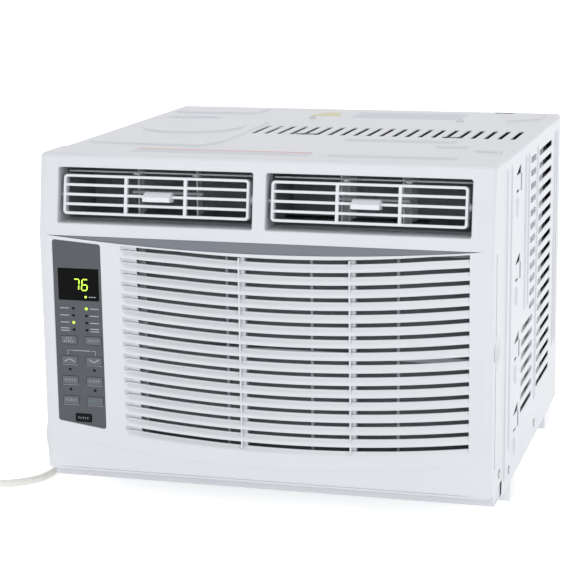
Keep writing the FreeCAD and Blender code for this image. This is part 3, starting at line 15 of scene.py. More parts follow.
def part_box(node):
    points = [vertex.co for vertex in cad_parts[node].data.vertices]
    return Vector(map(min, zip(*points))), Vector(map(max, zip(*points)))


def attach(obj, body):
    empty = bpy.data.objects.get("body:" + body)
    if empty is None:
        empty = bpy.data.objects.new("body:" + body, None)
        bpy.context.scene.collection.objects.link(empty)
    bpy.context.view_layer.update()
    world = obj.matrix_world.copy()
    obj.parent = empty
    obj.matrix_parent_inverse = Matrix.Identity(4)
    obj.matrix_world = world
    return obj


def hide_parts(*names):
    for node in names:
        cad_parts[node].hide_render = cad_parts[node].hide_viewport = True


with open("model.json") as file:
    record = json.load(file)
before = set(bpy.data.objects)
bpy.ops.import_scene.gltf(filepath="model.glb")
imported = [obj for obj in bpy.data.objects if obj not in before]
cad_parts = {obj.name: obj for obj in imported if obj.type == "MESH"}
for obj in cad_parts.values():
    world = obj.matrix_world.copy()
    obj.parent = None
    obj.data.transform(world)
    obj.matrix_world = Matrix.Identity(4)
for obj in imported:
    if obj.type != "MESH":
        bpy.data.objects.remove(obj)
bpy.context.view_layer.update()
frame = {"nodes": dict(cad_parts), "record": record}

MM = 0.001


def span(node_name):
    """The lowest and highest corner of a node, in millimetres."""
    return tuple(Vector(corner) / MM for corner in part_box(node_name))


BODY_OF = {n: b for b, nodes in frame["record"]["behaviour"]["bodies"].items() for n in nodes}
BEZEL_LOW, BEZEL_HIGH = span("front_bezel")
WRAP_LOW, WRAP_HIGH = span("cabinet_wrap")
HALF = BEZEL_HIGH.x
FRONT = BEZEL_LOW.y
SEAM = BEZEL_HIGH.y
TOP = BEZEL_HIGH.z
BREAK = span("accent_strip")[1].z + 0.3
LOW_LEAN = math.atan(4 / 249)
HIGH_LEAN = math.atan(12 / (TOP - BREAK))


# ------------------------------------------------------------------ camera
def set_camera():
    """A long lens, to the right of the front and a little above it."""
    turn, tip, roll = (math.radians(a) for a in (15.75, 11.69, -0.55))
    forward = Vector((-math.sin(turn) * math.cos(tip), math.cos(turn) * math.cos(tip), -math.sin(tip)))
    right = forward.cross(Vector((0, 0, 1))).normalized()
    up = right.cross(forward)
    level = right * math.cos(roll) + up * math.sin(roll)
    upright = up * math.cos(roll) - right * math.sin(roll)
    lens = bpy.data.cameras.new("view")
    lens.sensor_width = 36
    lens.lens = 118.45
    camera = bpy.data.objects.new("view", lens)
    camera.matrix_world = Matrix.Translation(Vector((528.94, -2000.76, 626.93)) * MM) @ Matrix(
        (level, upright, -forward)).transposed().to_4x4()
    bpy.context.scene.collection.objects.link(camera)
    bpy.context.scene.camera = camera


# ------------------------------------------------------------------ shaders
class Wire:
    """A shader output that turns into Math nodes when it is used in an expression."""

    def __init__(self, finish, socket):
        self.finish, self.socket = finish, socket

    def math(self, operation, *others):
        return self.finish.add("ShaderNodeMath", {"operation": operation}, **{
            str(i): value for i, value in enumerate((self,) + others)})

    def __add__(self, other):
        return self.math("ADD", other)

    def __sub__(self, other):
        return self.math("SUBTRACT", other)

    def __mul__(self, other):
        return self.math("MULTIPLY", other)

    __radd__, __rmul__ = __add__, __mul__

    def ramp(self, low, high):
        """0 below low, 1 above high, smooth between."""
        return self.finish.add("ShaderNodeMapRange", {"interpolation_type": "SMOOTHSTEP"},
                               **{"Value": self, "From Min": low, "From Max": high})


class Finish:
    """One material, its nodes added in the order they are used."""

    def __init__(self, name, **settings):
        self.material = bpy.data.materials.new(name)
        self.material.use_nodes = True
        self.tree = self.material.node_tree
        self.shader = self.tree.nodes["Principled BSDF"]
        self.place = None
        self.set(**settings)

    def add(self, kind, settings=None, output=0, **inputs):
        node = self.tree.nodes.new(kind)
        for name, value in (settings or {}).items():
            setattr(node, name, value)
        for name, value in inputs.items():
            self.feed(node.inputs[int(name) if name.isdigit() else name], value)
        return Wire(self, node.outputs[output])

    def feed(self, socket, value):
        if isinstance(value, Wire):
            self.tree.links.new(value.socket, socket)
        elif isinstance(value, tuple) and socket.type == "RGBA":
            socket.default_value = (*value, 1)
        else:
            socket.default_value = value

    def set(self, **inputs):
        """Values or wires for the shader's sockets; an underscore stands for a space."""
        for name, value in inputs.items():
            self.feed(self.shader.inputs[name.replace("_", " ")], value)
        return self

    def where(self):
        """The place on the piece, in metres."""
        if self.place is None:
            self.place = self.add("ShaderNodeTexCoord", output=3)
        return self.place

    def noise(self, size, detail=2.0, rough=0.5, stretch=None):
        """Noise whose grain is size metres across."""
        at = self.where()
        if stretch:
            at = self.add("ShaderNodeMapping", {}, Vector=at, Scale=stretch)
        return self.add("ShaderNodeTexNoise", {}, Vector=at, Scale=1 / size, Detail=detail, Roughness=rough)

    def blend(self, amount, low, high):
        """A colour between two, by an amount."""
        sockets = {"0": amount, "6": low, "7": high}
        return self.add("ShaderNodeMix", {"data_type": "RGBA"}, output=2, **sockets)

    def bump(self, height, depth, under=None):
        """A normal from a height of depth metres at 1."""
        more = {"Normal": under} if under else {}
        return self.add("ShaderNodeBump", {}, Height=height, Distance=depth, Strength=1.0, **more)


def tones(colour, change):
    """A colour a little darker and a little lighter."""
    return tuple(tuple(max(0, min(1, c * (1 + k * change))) for c in colour) for k in (-1, 1))


def moulded(name, colour, rough=0.38):
    """Injection-moulded plastic with a fine spark-eroded texture and slow changes of tone."""
    made = Finish(name)
    drift = made.noise(0.09, 3).ramp(0.35, 0.65)
    fine = made.noise(0.0006, 2, 0.6)
    made.set(Base_Color=made.blend(drift, *tones(colour, 0.012)),
             Roughness=(fine - 0.5) * 0.10 + rough + drift * 0.03,
             Normal=made.bump(fine, 0.000012, made.bump(made.noise(0.03, 1), 0.00006)))
    return made.material


def enamel(name, colour, rough=0.34):
    """Powder coat on sheet steel: orange peel, a slight waviness and faint handling marks."""
    made = Finish(name)
    peel = made.noise(0.0016, 2, 0.5)
    wave = made.noise(0.06, 1)
    rub = made.noise(0.012, 4, 0.7, (1, 4, 1)).ramp(0.60, 0.80)
    made.set(Base_Color=made.blend(wave.ramp(0.3, 0.7), *tones(colour, 0.014)),
             Roughness=(peel - 0.5) * 0.08 + rough + rub * 0.10,
             Normal=made.bump(peel, 0.000022, made.bump(wave, 0.00018)),
             Coat_Weight=0.12, Coat_Roughness=0.2)
    return made.material


def metal(name, colour, rough=0.3, stretch=(1, 1, 1)):
    """Bare or plated metal, brushed along one direction."""
    made = Finish(name, Metallic=1.0)
    lines = made.noise(0.0009, 3, 0.6, stretch)
    stain = made.noise(0.02, 3).ramp(0.35, 0.7)
    made.set(Base_Color=made.blend(stain, *tones(colour, 0.07)),
             Roughness=lines * 0.14 + rough - 0.07 + stain * 0.05, Normal=made.bump(lines, 0.00001))
    return made.material


def soft(name, colour, rough=0.55):
    """Rubber, foam or vinyl: matt, with a fine bloom."""
    made = Finish(name, Specular_IOR_Level=0.4)
    bloom = made.noise(0.006, 4, 0.65)
    skin = made.noise(0.0008, 2)
    made.set(Base_Color=made.blend(bloom.ramp(0.35, 0.7), *tones(colour, 0.05)),
             Roughness=bloom * 0.12 + rough - 0.06, Normal=made.bump(skin, 0.00002))
    return made.material


def lacquer(name, colour, rough=0.08):
    """A hard glossy moulding, such as a lens."""
    made = Finish(name, Specular_IOR_Level=0.07)
    smear = made.noise(0.01, 4, 0.6).ramp(0.4, 0.8)
    made.set(Base_Color=made.blend(smear, *tones(colour, 0.1)), Roughness=smear * 0.05 + rough,
             Normal=made.bump(made.noise(0.004, 1), 0.000008))
    return made.material


def glowing(name, colour, strength):
    """A lit segment behind tinted plastic, brighter in its middle."""
    made = Finish(name, Emission_Strength=strength, Roughness=0.3)
    spread = made.noise(0.0015, 2).ramp(0.2, 0.8)
    made.set(Base_Color=made.blend(spread, *tones(colour, 0.1)),
             Emission_Color=made.blend(spread, *tones(colour, 0.12)))
    return made.material


def netting(name, colour):
    """A fine woven filter net."""
    made = Finish(name, Roughness=0.7)
    threads = [made.add("ShaderNodeTexWave", {"bands_direction": way, "wave_profile": "SIN"},
                        Vector=made.where(), Scale=400.0, Distortion=0.3) for way in ("X", "Z")]
    weave = threads[0].math("MAXIMUM", threads[1])
    made.set(Base_Color=made.blend(weave, (0.03, 0.035, 0.04), colour), Normal=made.bump(weave, 0.0001))
    return made.material


WHITE = (0.555, 0.568, 0.598)
BEZEL = moulded("bezel_moulding", WHITE, 0.36)
INSET = moulded("grey_inset_moulding", (0.132, 0.146, 0.170), 0.42)
FASCIA = moulded("panel_moulding", (0.050, 0.056, 0.066), 0.42)
KEY = moulded("key_moulding", (0.082, 0.090, 0.102), 0.42)
LOUVRE = moulded("louvre_moulding", (0.60, 0.62, 0.65), 0.33)
VANE = moulded("vane_moulding", (0.80, 0.81, 0.83), 0.45)
GRID = moulded("filter_moulding", (0.50, 0.53, 0.56), 0.5)
DARK = moulded("dark_moulding", (0.02, 0.02, 0.022), 0.5)
FOAM = soft("duct_foam", (0.25, 0.26, 0.28), 0.85)
COAT = enamel("cabinet_coat", (0.53, 0.545, 0.585))
PANCOAT = enamel("pan_coat", (0.70, 0.715, 0.73), 0.4)
BLACKCOAT = enamel("compressor_coat", (0.012, 0.012, 0.013), 0.3)
FINS = metal("fin_foil", (0.66, 0.68, 0.70), 0.38, (1, 1, 12))
COPPER = metal("drawn_copper", (0.75, 0.38, 0.24), 0.28)
ZINC = metal("zinc_plate", (0.60, 0.61, 0.62), 0.35, (8, 1, 1))
BRASS = metal("pin_brass", (0.80, 0.62, 0.32), 0.22, (8, 1, 1))
RUBBER = soft("grommet_rubber", (0.03, 0.03, 0.03), 0.6)
VINYL = soft("lead_vinyl", (0.70, 0.69, 0.655), 0.46)
PLUG = moulded("plug_moulding", (0.70, 0.69, 0.65), 0.42)
LENS = lacquer("display_gloss", (0.0015, 0.0015, 0.002), 0.22)
GLOSS = lacquer("power_key_gloss", (0.006, 0.006, 0.007), 0.16)
UNLIT = lacquer("unlit_lamp", (0.006, 0.006, 0.006), 0.2)
PRINT = moulded("pale_print", (0.42, 0.44, 0.46), 0.5)
GREENPRINT = moulded("green_print", (0.035, 0.16, 0.10), 0.5)
LIT = glowing("lit_lamp", (0.48, 0.90, 0.05), 1.15)
BOARD = lacquer("board_lacquer", (0.02, 0.12, 0.05), 0.3)
NET = netting("filter_net", (0.16, 0.17, 0.18))
LABEL = moulded("blank_label", (0.50, 0.51, 0.56), 0.45)
ORANGE = moulded("orange_line", (0.70, 0.15, 0.08), 0.5)
YELLOW = moulded("yellow_label", (0.55, 0.53, 0.33), 0.5)
REDKEY = moulded("red_key", (0.35, 0.03, 0.03), 0.35)


# ------------------------------------------------------------------ outlines
def arc(centre, radius, start, end, steps):
    """Points along an arc, angles in degrees, both ends included."""
    return [(centre[0] + radius * math.cos(math.radians(start + (end - start) * i / steps)),
             centre[1] + radius * math.sin(math.radians(start + (end - start) * i / steps)))
            for i in range(steps + 1)]


def angles(steps):
    """Angles once round, the last one short of the first."""
    return [2 * math.pi * k / steps for k in range(steps)]


def ring(across, up, radius, steps):
    """A closed circle."""
    return [(across + radius * math.cos(a), up + radius * math.sin(a)) for a in angles(steps)]


def quarter(radius, steps):
    """A quarter round as (grow, depth) steps, from its flat face to its wall."""
    return [(radius * (1 - math.sin(a)), radius * (1 - math.cos(a)))
            for a in (math.pi / 2 * k / steps for k in range(steps + 1))]


def rounded(corners, radius, steps=5):
    """A closed counter-clockwise outline with each corner rounded."""
    points = []
    count = len(corners)
    for i in range(count):
        before, here, after = (Vector(corners[(i + k) % count]) for k in (-1, 0, 1))
        back, on = (before - here).normalized(), (after - here).normalized()
        half = back.angle(on) / 2
        reach = radius / math.tan(half)
        centre = here + (back + on).normalized() * (radius / math.sin(half))
        start, end = here + back * reach - centre, here + on * reach - centre
        first = math.atan2(start.y, start.x)
        turn = (math.atan2(end.y, end.x) - first + math.pi) % (2 * math.pi) - math.pi
        points += [(centre.x + radius * math.cos(first + turn * k / steps),
                    centre.y + radius * math.sin(first + turn * k / steps)) for k in range(steps + 1)]
    return points


def oblong_corners(across, up):
    (a, b), (c, d) = across, up
    return [(a, c), (b, c), (b, d), (a, d)]


def oblong(across, up, radius, steps=5):
    """A rectangle with rounded corners."""
    return rounded(oblong_corners(across, up), radius, steps)


def grown(outline, by):
    """A closed counter-clockwise outline moved outwards."""
    count = len(outline)
    moved = []
    for i in range(count):
        before, here, after = (Vector(outline[(i + k) % count]) for k in (-1, 0, 1))
        one, two = (here - before), (after - here)
        if one.length < 1e-6:
            one = two
        if two.length < 1e-6:
            two = one
        one, two = one.normalized(), two.normalized()
        normal = (Vector((one.y, -one.x)) + Vector((two.y, -two.x))).normalized()
        stretch = max(0.35, normal.dot(Vector((one.y, -one.x))))
        moved.append(tuple(here + normal * (by / stretch)))
    return moved


# ------------------------------------------------------------------ mesh making
class Shell:
    """Collects the surfaces of one piece."""

    def __init__(self, place=None):
        self.points, self.faces, self.tones = [], [], []
        self.place = place or (lambda x, y, z: (x, y, z))
        self.tone = 0

    def add(self, points, faces):
        first = len(self.points)
        self.points += [self.place(*p) for p in points]
        self.faces += [tuple(first + i for i in face) for face in faces]
        self.tones += [self.tone] * len(faces)

    def grid(self, rows, closed=False):
        """Quads between rows of points."""
        wide = len(rows[0])
        flat = [p for row in rows for p in row]
        around = wide if closed else wide - 1
        self.add(flat, [(r * wide + i, r * wide + (i + 1) % wide, (r + 1) * wide + (i + 1) % wide,
                         (r + 1) * wide + i) for r in range(len(rows) - 1) for i in range(around)])

    def fill(self, outline, holes, lift):
        """A face with holes; lift turns each (across, up) into a point."""
        loops = [[Vector((*p, 0)) for p in loop] for loop in [outline, *holes]]
        flat = [lift(*p) for loop in [outline, *holes] for p in loop]
        self.add(flat, [tuple(t) for t in tessellate_polygon(loops)])

    def sweep(self, outline, steps, lift):
        """A closed outline carried through (grow, depth) steps; lift takes across, up and depth."""
        self.grid([[lift(*p, depth) for p in grown(outline, grow)] for grow, depth in steps], closed=True)

    def plate(self, outline, low, high, radius, lift, holes=(), steps=3, back=True):
        """A flat plate with rounded edges and rounded holes, from depth low to depth high."""
        self.fill(grown(outline, -radius), [grown(h, radius) for h in holes], lambda a, u: lift(a, u, low))
        for loop, side in [(outline, -1)] + [(h, 1) for h in holes]:
            self.sweep(loop, [(side * g, low + d) for g, d in quarter(radius, steps)] + [(0, high)], lift)
        if back:
            self.fill(outline, holes, lambda a, u: lift(a, u, high))

    def take(self, built, lift):
        """The points and faces of a finished edit mesh."""
        built.verts.index_update()
        self.add([lift(*v.co) for v in built.verts], [[v.index for v in f.verts] for f in built.faces])
        built.free()

    def block(self, low, high, radius, segments=2):
        """A box with rounded edges."""
        built = bmesh.new()
        middle = (Vector(low) + Vector(high)) / 2
        size = Vector(high) - Vector(low)
        bmesh.ops.create_cube(built, size=1, matrix=Matrix.Diagonal((*size, 1)))
        bmesh.ops.bevel(built, geom=list(built.edges), offset=min(radius, 0.45 * min(size)), profile=0.5,
                        segments=segments, affect="EDGES", clamp_overlap=True)
        self.take(built, lambda x, y, z: middle + Vector((x, y, z)))

    def prism(self, outline, low, high, radius, lift, segments=2):
        """A convex outline carried from low to high, every edge rounded."""
        built = bmesh.new()
        ends = [[built.verts.new((*p, z)) for p in outline] for z in (low, high)]
        count = len(outline)
        built.faces.new(ends[0][::-1])
        built.faces.new(ends[1])
        for i in range(count):
            built.faces.new((ends[0][i], ends[0][(i + 1) % count], ends[1][(i + 1) % count], ends[1][i]))
        bmesh.ops.bevel(built, geom=list(built.edges), offset=radius, profile=0.5, segments=segments,
                        affect="EDGES", clamp_overlap=True)
        self.take(built, lift)

    def turned(self, centre, axis, profile, steps=48):
        """A profile of (radius, along) points turned about an axis through centre."""
        along = Vector(axis).normalized()
        side = along.orthogonal().normalized()
        other = along.cross(side)
        self.grid([[Vector(centre) + along * up + (side * math.cos(a) + other * math.sin(a)) * radius
                    for a in angles(steps)] for radius, up in profile], closed=True)

    def bead(self, line, wide, high, lift, steps=6):
        """A half-round ridge along a line on a surface, its ends run out."""
        spots = [Vector(p) for p in line]
        rows = []
        for i, spot in enumerate(spots):
            ahead = (spots[min(i + 1, len(spots) - 1)] - spots[max(i - 1, 0)]).normalized()
            across = Vector((-ahead.y, ahead.x))
            ease = 0.02 if i in (0, len(spots) - 1) else 1
            rows.append([lift(*(spot + across * (wide / 2 * math.cos(math.pi * k / steps) * max(ease, 0.3))),
                              high * ease * math.sin(math.pi * k / steps) - 0.02) for k in range(steps + 1)])
        self.grid(rows)

    def piece(self, name, finishes, node=None, body=None, sharp=34):
        """Makes the object, lets it ride on its body, and hides the nodes it stands for."""
        mesh = bpy.data.meshes.new(name)
        built = bmesh.new()
        corners = [built.verts.new(Vector(p) * MM) for p in self.points]
        finishes = finishes if isinstance(finishes, list) else [finishes]
        for face, tone in zip(self.faces, self.tones):
            if len(set(face)) < 3:
                continue
            made = built.faces.new([corners[i] for i in face])
            made.material_index = tone
        bmesh.ops.remove_doubles(built, verts=built.verts, dist=0.004 * MM)
        bmesh.ops.dissolve_degenerate(built, edges=built.edges, dist=0.002 * MM)
        bmesh.ops.recalc_face_normals(built, faces=built.faces)
        built.to_mesh(mesh)
        built.free()
        for finish in finishes:
            mesh.materials.append(finish)
        mesh.polygons.foreach_set("use_smooth", [True] * len(mesh.polygons))
        mesh.set_sharp_from_angle(angle=math.radians(sharp))
        made = bpy.data.objects.new(name, mesh)
        bpy.context.scene.collection.objects.link(made)
        weighted = made.modifiers.new("even_shading", "WEIGHTED_NORMAL")
        weighted.keep_sharp = True
        nodes = [node] if isinstance(node, str) else list(node or [])
        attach(made, body or BODY_OF[nodes[0]])
        if nodes:
            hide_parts(*nodes)
        return made


def crisp(node, finish, width=0.5, segments=2):
    """A node's own shape with its edges broken by a small round."""
    source = frame["nodes"][node]
    built = bmesh.new()
    built.from_mesh(source.data)
    bmesh.ops.remove_doubles(built, verts=built.verts, dist=0.004 * MM)
    bmesh.ops.dissolve_limit(built, angle_limit=math.radians(1.5), verts=built.verts, edges=built.edges)
    mesh = bpy.data.meshes.new(node + "_finished")
    built.to_mesh(mesh)
    built.free()
    mesh.materials.append(finish)
    mesh.polygons.foreach_set("use_smooth", [True] * len(mesh.polygons))
    mesh.set_sharp_from_angle(angle=math.radians(30))
    made = bpy.data.objects.new(node + "_finished", mesh)
    bpy.context.scene.collection.objects.link(made)
    edge = made.modifiers.new("broken_edges", "BEVEL")
    edge.width = width * MM
    edge.segments = segments
    edge.limit_method = "ANGLE"
    edge.angle_limit = math.radians(32)
    edge.harden_normals = True
    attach(made, BODY_OF[node])
    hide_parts(node)
    return made


# ------------------------------------------------------------------ front bezel
CORNER = 9
TOP_ROUND = 5
LOW_ROUND = 2.5
FLAT = HALF - CORNER
CREASE_DROP = 0.45
SKIRT = 14


def face_y(z):
    """The depth of the front surface at a height."""
    return FRONT + abs(z - BREAK) * math.tan(HIGH_LEAN if z > BREAK else LOW_LEAN)


def on_face(x, z, depth=0):
    return (x, face_y(z) + depth, z)


def on_panel(x, height, depth=0):
    """A point on the lower face, height above the break and depth behind it."""
    return (x, FRONT + depth * math.cos(LOW_LEAN) - height * math.sin(LOW_LEAN),
            BREAK + depth * math.sin(LOW_LEAN) + height * math.cos(LOW_LEAN))


def on_upper(x, height, depth=0):
    """A point on the upper face, height above the break and depth behind it."""
    return (x, FRONT + depth * math.cos(HIGH_LEAN) + height * math.sin(HIGH_LEAN),
            BREAK - depth * math.sin(HIGH_LEAN) + height * math.cos(HIGH_LEAN))


def plan(z, inset, steps=6):
    """The bezel's outline at a height, from the right side's back edge round to the left one's."""
    front, side, radius = face_y(z) + inset, HALF - inset, max(CORNER - inset, 1.0)
    right = arc((side - radius, front + radius), radius, 0, -90, steps)
    left = [(-x, y) for x, y in reversed(right)]
    return [(x, y, z) for x, y in [(side, SEAM)] + right + left + [(-side, SEAM)]]


SLOT_COUNT = 16
SLOT_PITCH = 12.74
SLOT_GAP = 4.5
SLOT_TOP = 273.4
SLOT_RADIUS = 1430
SLOT_VERTEX = 16
GRILLE_LEFT, GRILLE_RIGHT = -149, 213.2
SLOT_LEFT, SLOT_RIGHT = -129, 212
RIBS = (-20.5, 93)


STRIP_HALF, STRIP_SAG = 225, 11.5


def strip_z(x, half=STRIP_HALF):
    """The strip's drooping lower edge."""
    radius = (half ** 2 + STRIP_SAG ** 2) / (2 * STRIP_SAG)
    return BREAK - (math.sqrt(radius ** 2 - x ** 2) - radius + STRIP_SAG)


def slot_z(x, i):
    """The middle of slot i; they droop towards the middle, and the upper ones keep clear of the strip."""
    bow = (x - SLOT_VERTEX) ** 2 / (2 * SLOT_RADIUS)
    over = max(0, SLOT_TOP + bow - strip_z(x) + 4.2)
    return SLOT_TOP - SLOT_PITCH * i + bow - over * max(0, 1 - i / 5)


def ease(t):
    t = max(0.0, min(1.0, t))
    return t * t * (3 - 2 * t)


def slat_depth(x):
    """How far a slat's upper edge lies back: scooped on the left, shallow on the right."""
    full = 4.2 - 2.4 * ease((x - SLOT_LEFT) / 330)
    return full * ease((x - GRILLE_LEFT - 3) / 5.5) * ease((SLOT_RIGHT + 0.6 - x) / 0.5)


def grille_columns():
    columns = [GRILLE_LEFT, GRILLE_LEFT + 1.5] + [GRILLE_LEFT + 3 + 0.7 * k for k in range(13)]
    columns += [GRILLE_LEFT + 13.5 + 1.6 * k for k in range(4)]
    columns += [SLOT_LEFT + (SLOT_RIGHT - SLOT_LEFT) * k / 72 for k in range(73)]
    return columns + [SLOT_RIGHT + 0.5, GRILLE_RIGHT]


def grille_edge(i, drop):
    return [(x, slot_z(x, i) - drop) for x in grille_columns()]


LIP_TOP = -SLOT_GAP / 2 - 0.7
SLOPE_END = SLOT_GAP / 2 + 6.2


def slats(shell):
    """Each slot's lip, its gap, and the slat below it, whose upper edge leans back under the lip."""
    columns = grille_columns()
    for i in range(SLOT_COUNT):
        def row(drop, depth, share, shut=None):
            points = []
            for x in columns:
                open_here = min(1, slat_depth(x) / 1.2)
                fall = drop if shut is None else shut + (drop - shut) * open_here
                points.append(on_face(x, slot_z(x, i) - fall, depth * open_here + share * slat_depth(x)))
            return points
        half = SLOT_GAP / 2
        lip = [row(LIP_TOP, 0, 0), row(-half - 0.25, 0.08, 0), row(-half - 0.03, 0.45, 0),
               row(-half + 0.05, 2.4, 0)]
        nose = [row(half + 0.8, 2.2, 1.0, half - 1.2), row(half + 0.12, 1.3, 1.0, half - 0.8),
                row(half, 0.7, 1.0, half - 0.4), row(half + 0.15, 0.25, 1.0, half)]
        for share in (0.0, 0.12, 0.24, 0.38, 0.54, 0.72, 0.88):
            nose.append(row(half + 0.5 + 5.7 * share, 0, 1.0 - ease(share)))
        nose.append(row(SLOPE_END, 0, 0))
        shell.grid(lip)
        shell.grid(nose)
        left_end = [k for k, x in enumerate(columns) if x <= SLOT_LEFT + 0.01]
        right_end = [k for k, x in enumerate(columns) if x >= SLOT_RIGHT - 0.01]
        for closed in (left_end, right_end):
            shell.grid([[r[k] for k in closed] for r in (lip[-1], nose[0])])
        if i:
            shell.grid([[on_face(x, slot_z(x, i - 1) - SLOPE_END) for x in columns],
                        [on_face(x, slot_z(x, i) - LIP_TOP) for x in columns]])
    for x in RIBS:
        for shift, wide, near, far in ((0, 1.7, 0.35, 9), (2.6, 5.2, 4.5, 12)):
            shape = ((-1, far), (-1, near + 0.3), (-0.7, near), (0.7, near), (1, near + 0.3), (1, far))
            shell.grid([[(x + shift + side * wide / 2, face_y(z) + depth, z) for side, depth in shape]
                        for z in (slot_z(x, SLOT_COUNT - 1) - 5, slot_z(x, 0) + 1.4)])


PANEL = [(-219, -195.8), (-167, -203), (-167, -8.4), (-219, -4.5)]
OUTLETS = ((-213, -6.8), (6.8, 213))
OUTLET_UP = (303.5, 359.5)


def strip_arc(drop=0.0, half=STRIP_HALF, steps=48):
    """The strip's lower edge, from right to left."""
    across = [half * (1 - 2 * k / steps) for k in range(steps + 1)]
    return [(x, strip_z(x, half) - drop) for x in across]


def crease(steps=40):
    """The low crease across the face, from left to right."""
    return [(x, 59 + 21 * (x / FLAT) ** 2) for x in (-FLAT + 2 * FLAT * k / steps for k in range(steps + 1))]


NOTCH_Y, NOTCH_Z = FRONT + 33, 187.5
NOTCH_LONG, NOTCH_TALL = 22.5, 17.5
SLIT = (FRONT + 19.6, FRONT + 25.4)
SLIT_LOW, SLIT_HIGH = 69.2, 284.8


def dished(y, z):
    """A point of the right wall, hollowed for a finger beside the filter's edge."""
    reach = math.hypot((y - NOTCH_Y) / NOTCH_LONG, (z - NOTCH_Z) / NOTCH_TALL)
    return HALF - 5.2 * ease((1 - reach) * 1.25)


def filter_slit(shell):
    """Makes the finger hollow and the slit's walls; returns the outline of both in the right wall."""
    outline = []
    levels = [SLIT_LOW] + [NOTCH_Z + NOTCH_TALL * (k / 10 - 1) for k in range(21)] + [SLIT_HIGH]
    for edge, side, start, end in ((SLIT[1], 1, SLIT_HIGH, SLIT_LOW), (SLIT[0], -1, SLIT_LOW, SLIT_HIGH)):
        meet = math.acos(side * (edge - NOTCH_Y) / NOTCH_LONG)
        bow = [(NOTCH_Y + side * NOTCH_LONG * math.cos(a), NOTCH_Z + side * NOTCH_TALL * math.sin(a))
               for a in (meet * (1 - k / 12) for k in range(25))]
        shares = (1, 0.85, 0.7, 0.5, 0.3, 0.15, 0)
        rows = [[(edge + (y - edge) * share, z) for share in shares] for y, z in bow]
        shell.grid([[(dished(*p), *p) for p in row] for row in rows])
        outline += [(edge, start)] + bow + [(edge, end)]
        shell.grid([[(dished(edge, z), edge, z), (dished(edge, z) - 2.5, edge, z)] for z in levels])
    for z in (SLIT_LOW, SLIT_HIGH):
        shell.grid([[(HALF, y, z), (HALF - 2.5, y, z)] for y in SLIT])
    return outline


def make_bezel():
    shell = Shell()
    panel = [(x, BREAK + z) for x, z in rounded(PANEL, 2.6)]
    grille = grille_edge(SLOT_COUNT - 1, SLOPE_END) + grille_edge(0, LIP_TOP)[::-1]
    lip = 0.9
    low_line = crease()
    outer = low_line + [(FLAT, BREAK)] + strip_arc() + [(-FLAT, BREAK)]
    shell.fill(outer, [grown(panel, lip), grille], on_face)
    shell.sweep(panel, [(lip, 0), (lip * 0.6, 0.1), (lip * 0.25, 0.35), (0, lip), (0, 4)], on_face)
    slats(shell)

    def set_back(x):
        return CREASE_DROP * ease((FLAT - abs(x)) / 25)
    foot = BEZEL_LOW.z + SKIRT + LOW_ROUND
    rows = [[on_face(x, z, 0) for x, z in low_line], [on_face(x, z - 0.35, set_back(x)) for x, z in low_line]]
    rows += [[on_face(x, foot + (z - 0.35 - foot) * share, set_back(x)) for x, z in low_line]
             for share in (0.9, 0.6, 0.3, 0)]
    shell.grid(rows)
    ledge = strip_arc()
    shell.grid([[on_face(*p, depth) for p in ledge] for depth in (0, 0.25, 2)])

    holes = [oblong(across, OUTLET_UP, 2.2) for across in OUTLETS]
    soft_lip = 1.7
    header = oblong_corners((-FLAT, FLAT), (BREAK, TOP - TOP_ROUND))
    shell.fill(header, [grown(h, soft_lip) for h in holes], on_face)
    for hole in holes:
        shell.sweep(hole, quarter(soft_lip, 5), on_face)
        mouth = [on_face(*p, soft_lip) for p in hole]
        shell.grid([mouth, [(x, FRONT + 36, z) for x, z in hole]], closed=True)

    base = BEZEL_LOW.z + SKIRT
    lower, upper = base + LOW_ROUND, TOP - TOP_ROUND
    bends = [plan(z, 0)[1:8] for z in (lower, BREAK, upper)]
    shell.grid(bends)
    shell.grid([[(-x, y, z) for x, y, z in row] for row in bends])
    for sign in (-1, 1):
        near = [row[0][1] for row in bends]
        outline = [(near[0], lower), (SEAM, lower), (SEAM, upper), (near[2], upper), (near[1], BREAK)]
        shell.fill(outline, [filter_slit(shell)] if sign > 0 else [], lambda y, z: (sign * HALF, y, z))
    top = [plan(TOP - fall, inset) for fall, inset in quarter(TOP_ROUND, 6)]
    shell.grid(top)
    shell.fill([(p[0], p[1]) for p in top[-1]][::-1], [], lambda x, y: (x, y, TOP))
    low = [plan(base + up, inset) for up, inset in quarter(LOW_ROUND, 4)]
    shell.grid(low)
    shell.fill([(p[0], p[1]) for p in low[-1]], [], lambda x, y: (x, y, base))
    rim = [(sign * HALF, SEAM - 0.01, z) for sign, z in ((1, lower), (1, upper), (-1, upper), (-1, lower))]
    inner = [(x * (1 - 3 / HALF), y, z - (3 if z > BREAK else 0)) for x, y, z in rim]
    shell.grid([rim, inner])
    shell.block((-HALF + 6, FRONT + 28, BEZEL_LOW.z), (HALF - 6, FRONT + 30.5, base + 4), 0.8)
    for side in (-1, 1):
        middle = side * (HALF - 4)
        shell.block((middle - 2.4, FRONT + 28, BEZEL_LOW.z), (middle + 2.4, SEAM + 60, base + 1), 0.8)
    return shell.piece("bezel", BEZEL, "front_bezel")


def make_strip():
    strip = Shell()
    end = STRIP_HALF - 4
    outline = strip_arc(-0.35, STRIP_HALF - 3)[::-1] + [(end, BREAK - 0.3), (-end, BREAK - 0.3)]
    outline = [p for p in outline if p[1] < BREAK - 0.25]
    strip.fill(outline, [], lambda x, z: on_face(x, z, 0.35))
    strip.grid([[on_face(*p, 0.35) for p in outline], [on_face(*p, 1.6) for p in outline]], closed=True)
    return strip.piece("grey_strip", INSET, "accent_strip")


